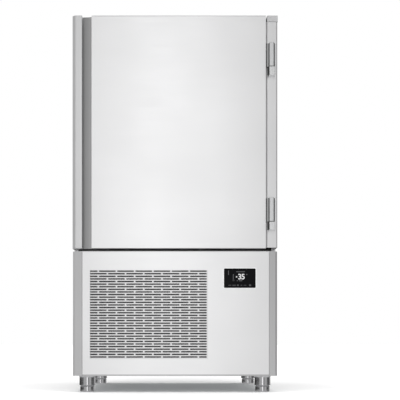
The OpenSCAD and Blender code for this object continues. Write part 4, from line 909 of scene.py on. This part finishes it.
for name, node, side, frontX in (("leftBand", "lower_side_panel_left", -1, band["leftFront"]),
                                 ("rightBand", "lower_side_panel_right", 1, band["rightFront"])):
    outline = [(side * x, y) for x, y in bandOutline(frontX, sideHigh[1])]
    sheet = foldSheet(name, outline, sideLow[2], sideHigh[2])
    thicken(sheet, band["sheet"], -side)
    dress(sheet, sideSteel, "cabinet", [node])

filterSizes = {
    "border": 0.012, "wire": 0.0012, "pitch": 0.0075, "pleat": 0.005, "pleatDeep": 0.0024, "pleatGap": 0.001,
    "edge": 0.0008,
}
filterLow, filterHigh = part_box("air_filter")
border = filterSizes["border"]
filterFrame = ringPlate("filterFrame", filterLow, filterHigh, border)
startEdit(filterFrame)
bpy.ops.mesh.select_all(action="SELECT")
bpy.ops.mesh.extrude_region_move(TRANSFORM_OT_translate={"value": (0, filterHigh[1] - filterLow[1], 0)})
endEdit()
bevelEdges(filterFrame, filterSizes["edge"], 2)
pieces = [filterFrame]
wireY = (filterLow[1] + filterHigh[1]) / 2
halfWire = filterSizes["wire"] / 2
across = filterHigh[0] - filterLow[0] - 2 * border
count = int(across / filterSizes["pitch"])
for i in range(1, count):
    x = filterLow[0] + border + across * i / count
    pieces.append(block("filterWire", (x - halfWire, wireY - halfWire, filterLow[2] + border / 2),
                        (x + halfWire, wireY + halfWire, filterHigh[2] - border / 2)))
tall = filterHigh[2] - filterLow[2] - 2 * border
count = int(tall / filterSizes["pitch"])
for i in range(1, count):
    z = filterLow[2] + border + tall * i / count
    pieces.append(block("filterWire", (filterLow[0] + border / 2, wireY - 3 * halfWire, z - halfWire),
                        (filterHigh[0] - border / 2, wireY - halfWire, z + halfWire)))
count = int(across / filterSizes["pleat"])
zigzag = [(filterLow[0] + border + across * i / count,
           wireY + filterSizes["pleatGap"] + (i % 2) * filterSizes["pleatDeep"]) for i in range(count + 1)]
pieces.append(foldSheet("filterMedium", zigzag, filterLow[2] + border, filterHigh[2] - border))
dress(joinPieces(pieces, "airFilter"), filterFibre, "cabinet", ["air_filter"])
print("lower section made")


# display glass with its lit marks
display = {
    "corner": 0.004, "edge": 0.0006, "markOut": 0.00005, "markIn": 0.0002, "markRound": 0.35,
    "digits": "35", "digitSize": 0.0292, "digitSpace": 0.88, "digitWeight": 0.0006, "digitDeep": 0.00012,
    "digitsAt": (241.4, 279.2), "middleAcross": 175.05, "topDown": 15.4, "top": 1.45, "pixel": 0.003844,
}
glassLow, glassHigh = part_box("display_glass")
glass = block("displayGlass", glassLow, glassHigh)
bevelEdges(glass, display["corner"], 6, lambda edge: reach(edge, 1) > nearly)
bevelEdges(glass, display["edge"], 2, lambda edge: middle(edge).y < glassLow[1] + 0.0003)
dress(glass, glassBlack, "cabinet", ["display_glass"])


def atPixel(across, down):
    # place on the front plane of a pixel of the photograph
    return ((across - display["middleAcross"]) * display["pixel"],
            display["top"] - (down - display["topDown"]) * display["pixel"])


def flatMark(name, low, high, material):
    # a thin lit mark just proud of the glass's face
    mark = block(name, (low[0], glassLow[1] - display["markOut"], low[1]),
                 (high[0], glassLow[1] + display["markIn"], high[1]))
    least = min(high[0] - low[0], high[1] - low[1])
    bevelEdges(mark, least * display["markRound"], 3, lambda edge: reach(edge, 1) > 0.0001)
    return dress(mark, material, "cabinet")


clearSelection()
bpy.ops.object.text_add(location=(0, 0, 0), rotation=(math.pi / 2, 0, 0))
digits = bpy.context.object
digits.name = "displayDigits"
digits.data.body = display["digits"]
digits.data.align_x = "CENTER"
digits.data.size = display["digitSize"]
digits.data.offset = display["digitWeight"]
digits.data.space_character = display["digitSpace"]
digits.data.extrude = display["digitDeep"]
place = atPixel(*display["digitsAt"])
digits.location = (place[0], glassLow[1], place[1])
clearSelection()
digits.select_set(True)
bpy.context.view_layer.objects.active = digits
bpy.ops.object.convert(target="MESH")
digits = bpy.context.object
dress(digits, digitLight, "cabinet")

marks = [
    # left, top, right, bottom in the photograph's pixels, and how bright
    ("minusMark", 235.9, 276.2, 237.3, 277.4, digitLight), ("degreeMark", 246.1, 273.9, 247.4, 275.1, iconDim),
    ("topWord", 236.2, 271.3, 245.0, 272.2, iconDim), ("underLeft", 236.9, 280.1, 238.0, 281.1, iconDim),
    ("underRight", 239.0, 280.0, 242.4, 281.2, iconDim), ("levelBar", 232.9, 274.0, 233.7, 281.0, iconDim),
    ("levelFoot", 232.6, 279.6, 234.3, 281.2, iconDim), ("sideBar", 228.1, 270.5, 228.9, 275.0, iconDim),
    ("iconOne", 228.4, 284.8, 231.4, 285.7, barDim), ("iconTwo", 232.4, 284.7, 235.9, 285.9, barDim),
    ("iconThree", 237.0, 284.4, 238.8, 286.0, iconDim), ("iconFour", 240.6, 284.8, 242.2, 285.8, barDim),
    ("iconFive", 243.6, 284.9, 246.4, 285.6, barDim), ("iconSix", 249.0, 284.4, 251.2, 286.1, iconDim),
]
for name, x0, y0, x1, y1, material in marks:
    flatMark(name, atPixel(x0, y1), atPixel(x1, y0), material)
print("display made")


# feet: turned soles under fixed sleeves
foot = {"sleeve": 0.031, "sole": 0.028, "stem": 0.01, "stemPlay": 0.0001, "sleeveFoot": 0.0251, "sleeveTop": 0.0638}
sleeves = []
for name in ("foot_front_left", "foot_front_right", "foot_rear_left", "foot_rear_right"):
    footLow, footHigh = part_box(name)
    centre = ((footLow[0] + footHigh[0]) / 2, (footLow[1] + footHigh[1]) / 2)
    wide = foot["sole"]
    # both turned profiles run from foot to top, with small steps for lips and grooves
    sole = turnProfile("sole_" + name, centre, [
        (0.0, 0.0), (wide - 0.004, 0.0), (wide - 0.0022, 0.0004), (wide - 0.0008, 0.0018), (wide, 0.0035),
        (wide, 0.0205), (wide - 0.0004, 0.0214), (wide - 0.0012, 0.0221), (wide - 0.0022, 0.0247),
        (foot["stem"], 0.0248), (foot["stem"], footHigh[2]), (0.0, footHigh[2])])
    dress(sole, footSteel, name.replace("foot", "levelling_foot"), [name], 40)
    wide, bore = foot["sleeve"], foot["stem"] + foot["stemPlay"]
    low, high = foot["sleeveFoot"], foot["sleeveTop"]
    sleeves.append(turnProfile("sleeve", centre, [
        (bore, low), (wide - 0.0016, low), (wide - 0.0005, 0.0256), (wide, 0.0266), (wide, 0.057),
        (wide + 0.0004, 0.0585), (wide + 0.0016, 0.0612), (wide + 0.003, 0.063), (wide + 0.003, high),
        (wide - 0.004, high), (bore, high), (bore, low)]))
dress(joinPieces(sleeves, "footSleeves"), footSteel, "cabinet", ["foot_sleeves"], 40)
print("feet made")

# insulated case: side sheets, top cover, back panel
case = {
    "sheet": 0.0012, "return": 0.016, "fold": 0.003, "inset": 0.0006, "bottomEdge": 0.0004,
    "coverRound": 0.0045, "coverFold": 0.003,
}
caseLow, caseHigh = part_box("outer_casing")
pieces = []
for side in (-1, 1):
    corner = arcPoints((caseHigh[0] - case["fold"], caseLow[1] + case["fold"]), case["fold"], -90, 0, 6)
    plan = [(caseHigh[0] - case["return"], caseLow[1])] + corner + [(caseHigh[0], caseHigh[1])]
    wall = foldSheet("caseSide", [(side * x, y) for x, y in plan], caseLow[2], caseHigh[2])
    thicken(wall, case["sheet"], -side)
    pieces.append(wall)
bottom = block("caseBottom", (caseLow[0] + case["inset"], caseLow[1] + case["inset"], caseLow[2]),
               (caseHigh[0] - case["inset"], caseHigh[1], caseLow[2] + case["sheet"]))
bevelEdges(bottom, case["bottomEdge"], 2)
dress(joinPieces(pieces + [bottom], "outerCasing"), sideSteel, "cabinet", ["outer_casing"])

coverLow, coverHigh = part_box("top_cover")
cover = block("topCover", coverLow, coverHigh)
openFaces(cover, lambda face: face.normal.z < -0.9)
bpy.ops.mesh.delete(type="FACE")
endEdit()
bevelEdges(cover, case["coverRound"], 5, uprightEdge)
bevelEdges(cover, case["coverFold"], 5, lambda edge: middle(edge).z > coverHigh[2] - nearly / 2)
thicken(cover, case["sheet"])
dress(cover, sideSteel, "cabinet", ["top_cover"])

ribs = {"places": (0.34, 0.68), "side": 0.09, "high": 0.01, "slope": 0.002, "deep": 0.0006}
backLow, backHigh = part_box("back_panel")
backSheet = facePlate("backPanel", (backLow[0], backHigh[1], backLow[2]), backHigh)
ribX = caseHigh[0] - ribs["side"]
ribRows = [caseLow[2] + share * (caseHigh[2] - caseLow[2]) for share in ribs["places"]]
cuts = [((ribX, 0, 0), (1, 0, 0)), ((-ribX, 0, 0), (1, 0, 0))]
cuts += [((0, 0, z + d), (0, 0, 1)) for z in ribRows for d in (0, ribs["high"])]
for place, across in cuts:
    cutAt(backSheet, place, across)
openFaces(backSheet, lambda face: abs(middle(face).x) < 0.1
          and any(z < middle(face).z < z + ribs["high"] for z in ribRows))
bpy.ops.mesh.inset(thickness=ribs["slope"], use_individual=True)
bpy.ops.transform.translate(value=(0, -ribs["deep"], 0))
endEdit()
thicken(backSheet, backHigh[1] - backLow[1] - ribs["deep"] / 2)
dress(backSheet, sideSteel, "cabinet", ["back_panel"])
print("case made")

# fan guards of round wire
guard = {
    "rings": 7, "pitch": 0.017, "wire": 0.00125, "spoke": 0.0015, "spokeBehind": 0.0022, "spokeEnd": 0.001,
    "leg": 0.0022, "legIn": 0.0015,
}
guardLow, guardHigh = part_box("fan_guards")
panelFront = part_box("fan_panel")[0][1]
guardR = (guardHigh[0] - guardLow[0]) / 2
ringY = guardLow[1] + guard["wire"]
inner = guardR - (guard["rings"] - 1) * guard["pitch"] - guard["spokeEnd"]
half = (guardR - inner) / 2 - guard["spokeEnd"]
legR = (guardR - guard["legIn"]) * 0.995
wires = []
for z in (guardLow[2] + guardR, guardHigh[2] - guardR):
    for i in range(guard["rings"]):
        clearSelection()
        bpy.ops.mesh.primitive_torus_add(
            location=(0, ringY, z), rotation=(math.pi / 2, 0, 0), major_segments=72, minor_segments=8,
            major_radius=guardR - i * guard["pitch"] - guard["wire"], minor_radius=guard["wire"])
        wires.append(bpy.context.object)
    for quarter in range(4):
        turn = math.radians(45 + 90 * quarter)
        alongX, alongZ = math.cos(turn), math.sin(turn)
        clearSelection()
        bpy.ops.mesh.primitive_cylinder_add(
            vertices=12, radius=guard["spoke"], depth=2 * half, rotation=(0, math.pi / 2 - turn, 0),
            location=((inner + half) * alongX, ringY + guard["spokeBehind"], z + (inner + half) * alongZ))
        wires.append(bpy.context.object)
        clearSelection()
        bpy.ops.mesh.primitive_cylinder_add(
            vertices=16, radius=guard["leg"], depth=panelFront - ringY, rotation=(math.pi / 2, 0, 0),
            location=(legR * alongX, (panelFront + ringY) / 2, z + legR * alongZ))
        wires.append(bpy.context.object)
dress(joinPieces(wires, "fanGuards"), wireSteel, "cabinet", ["fan_guards"], 40)
print("guards made")
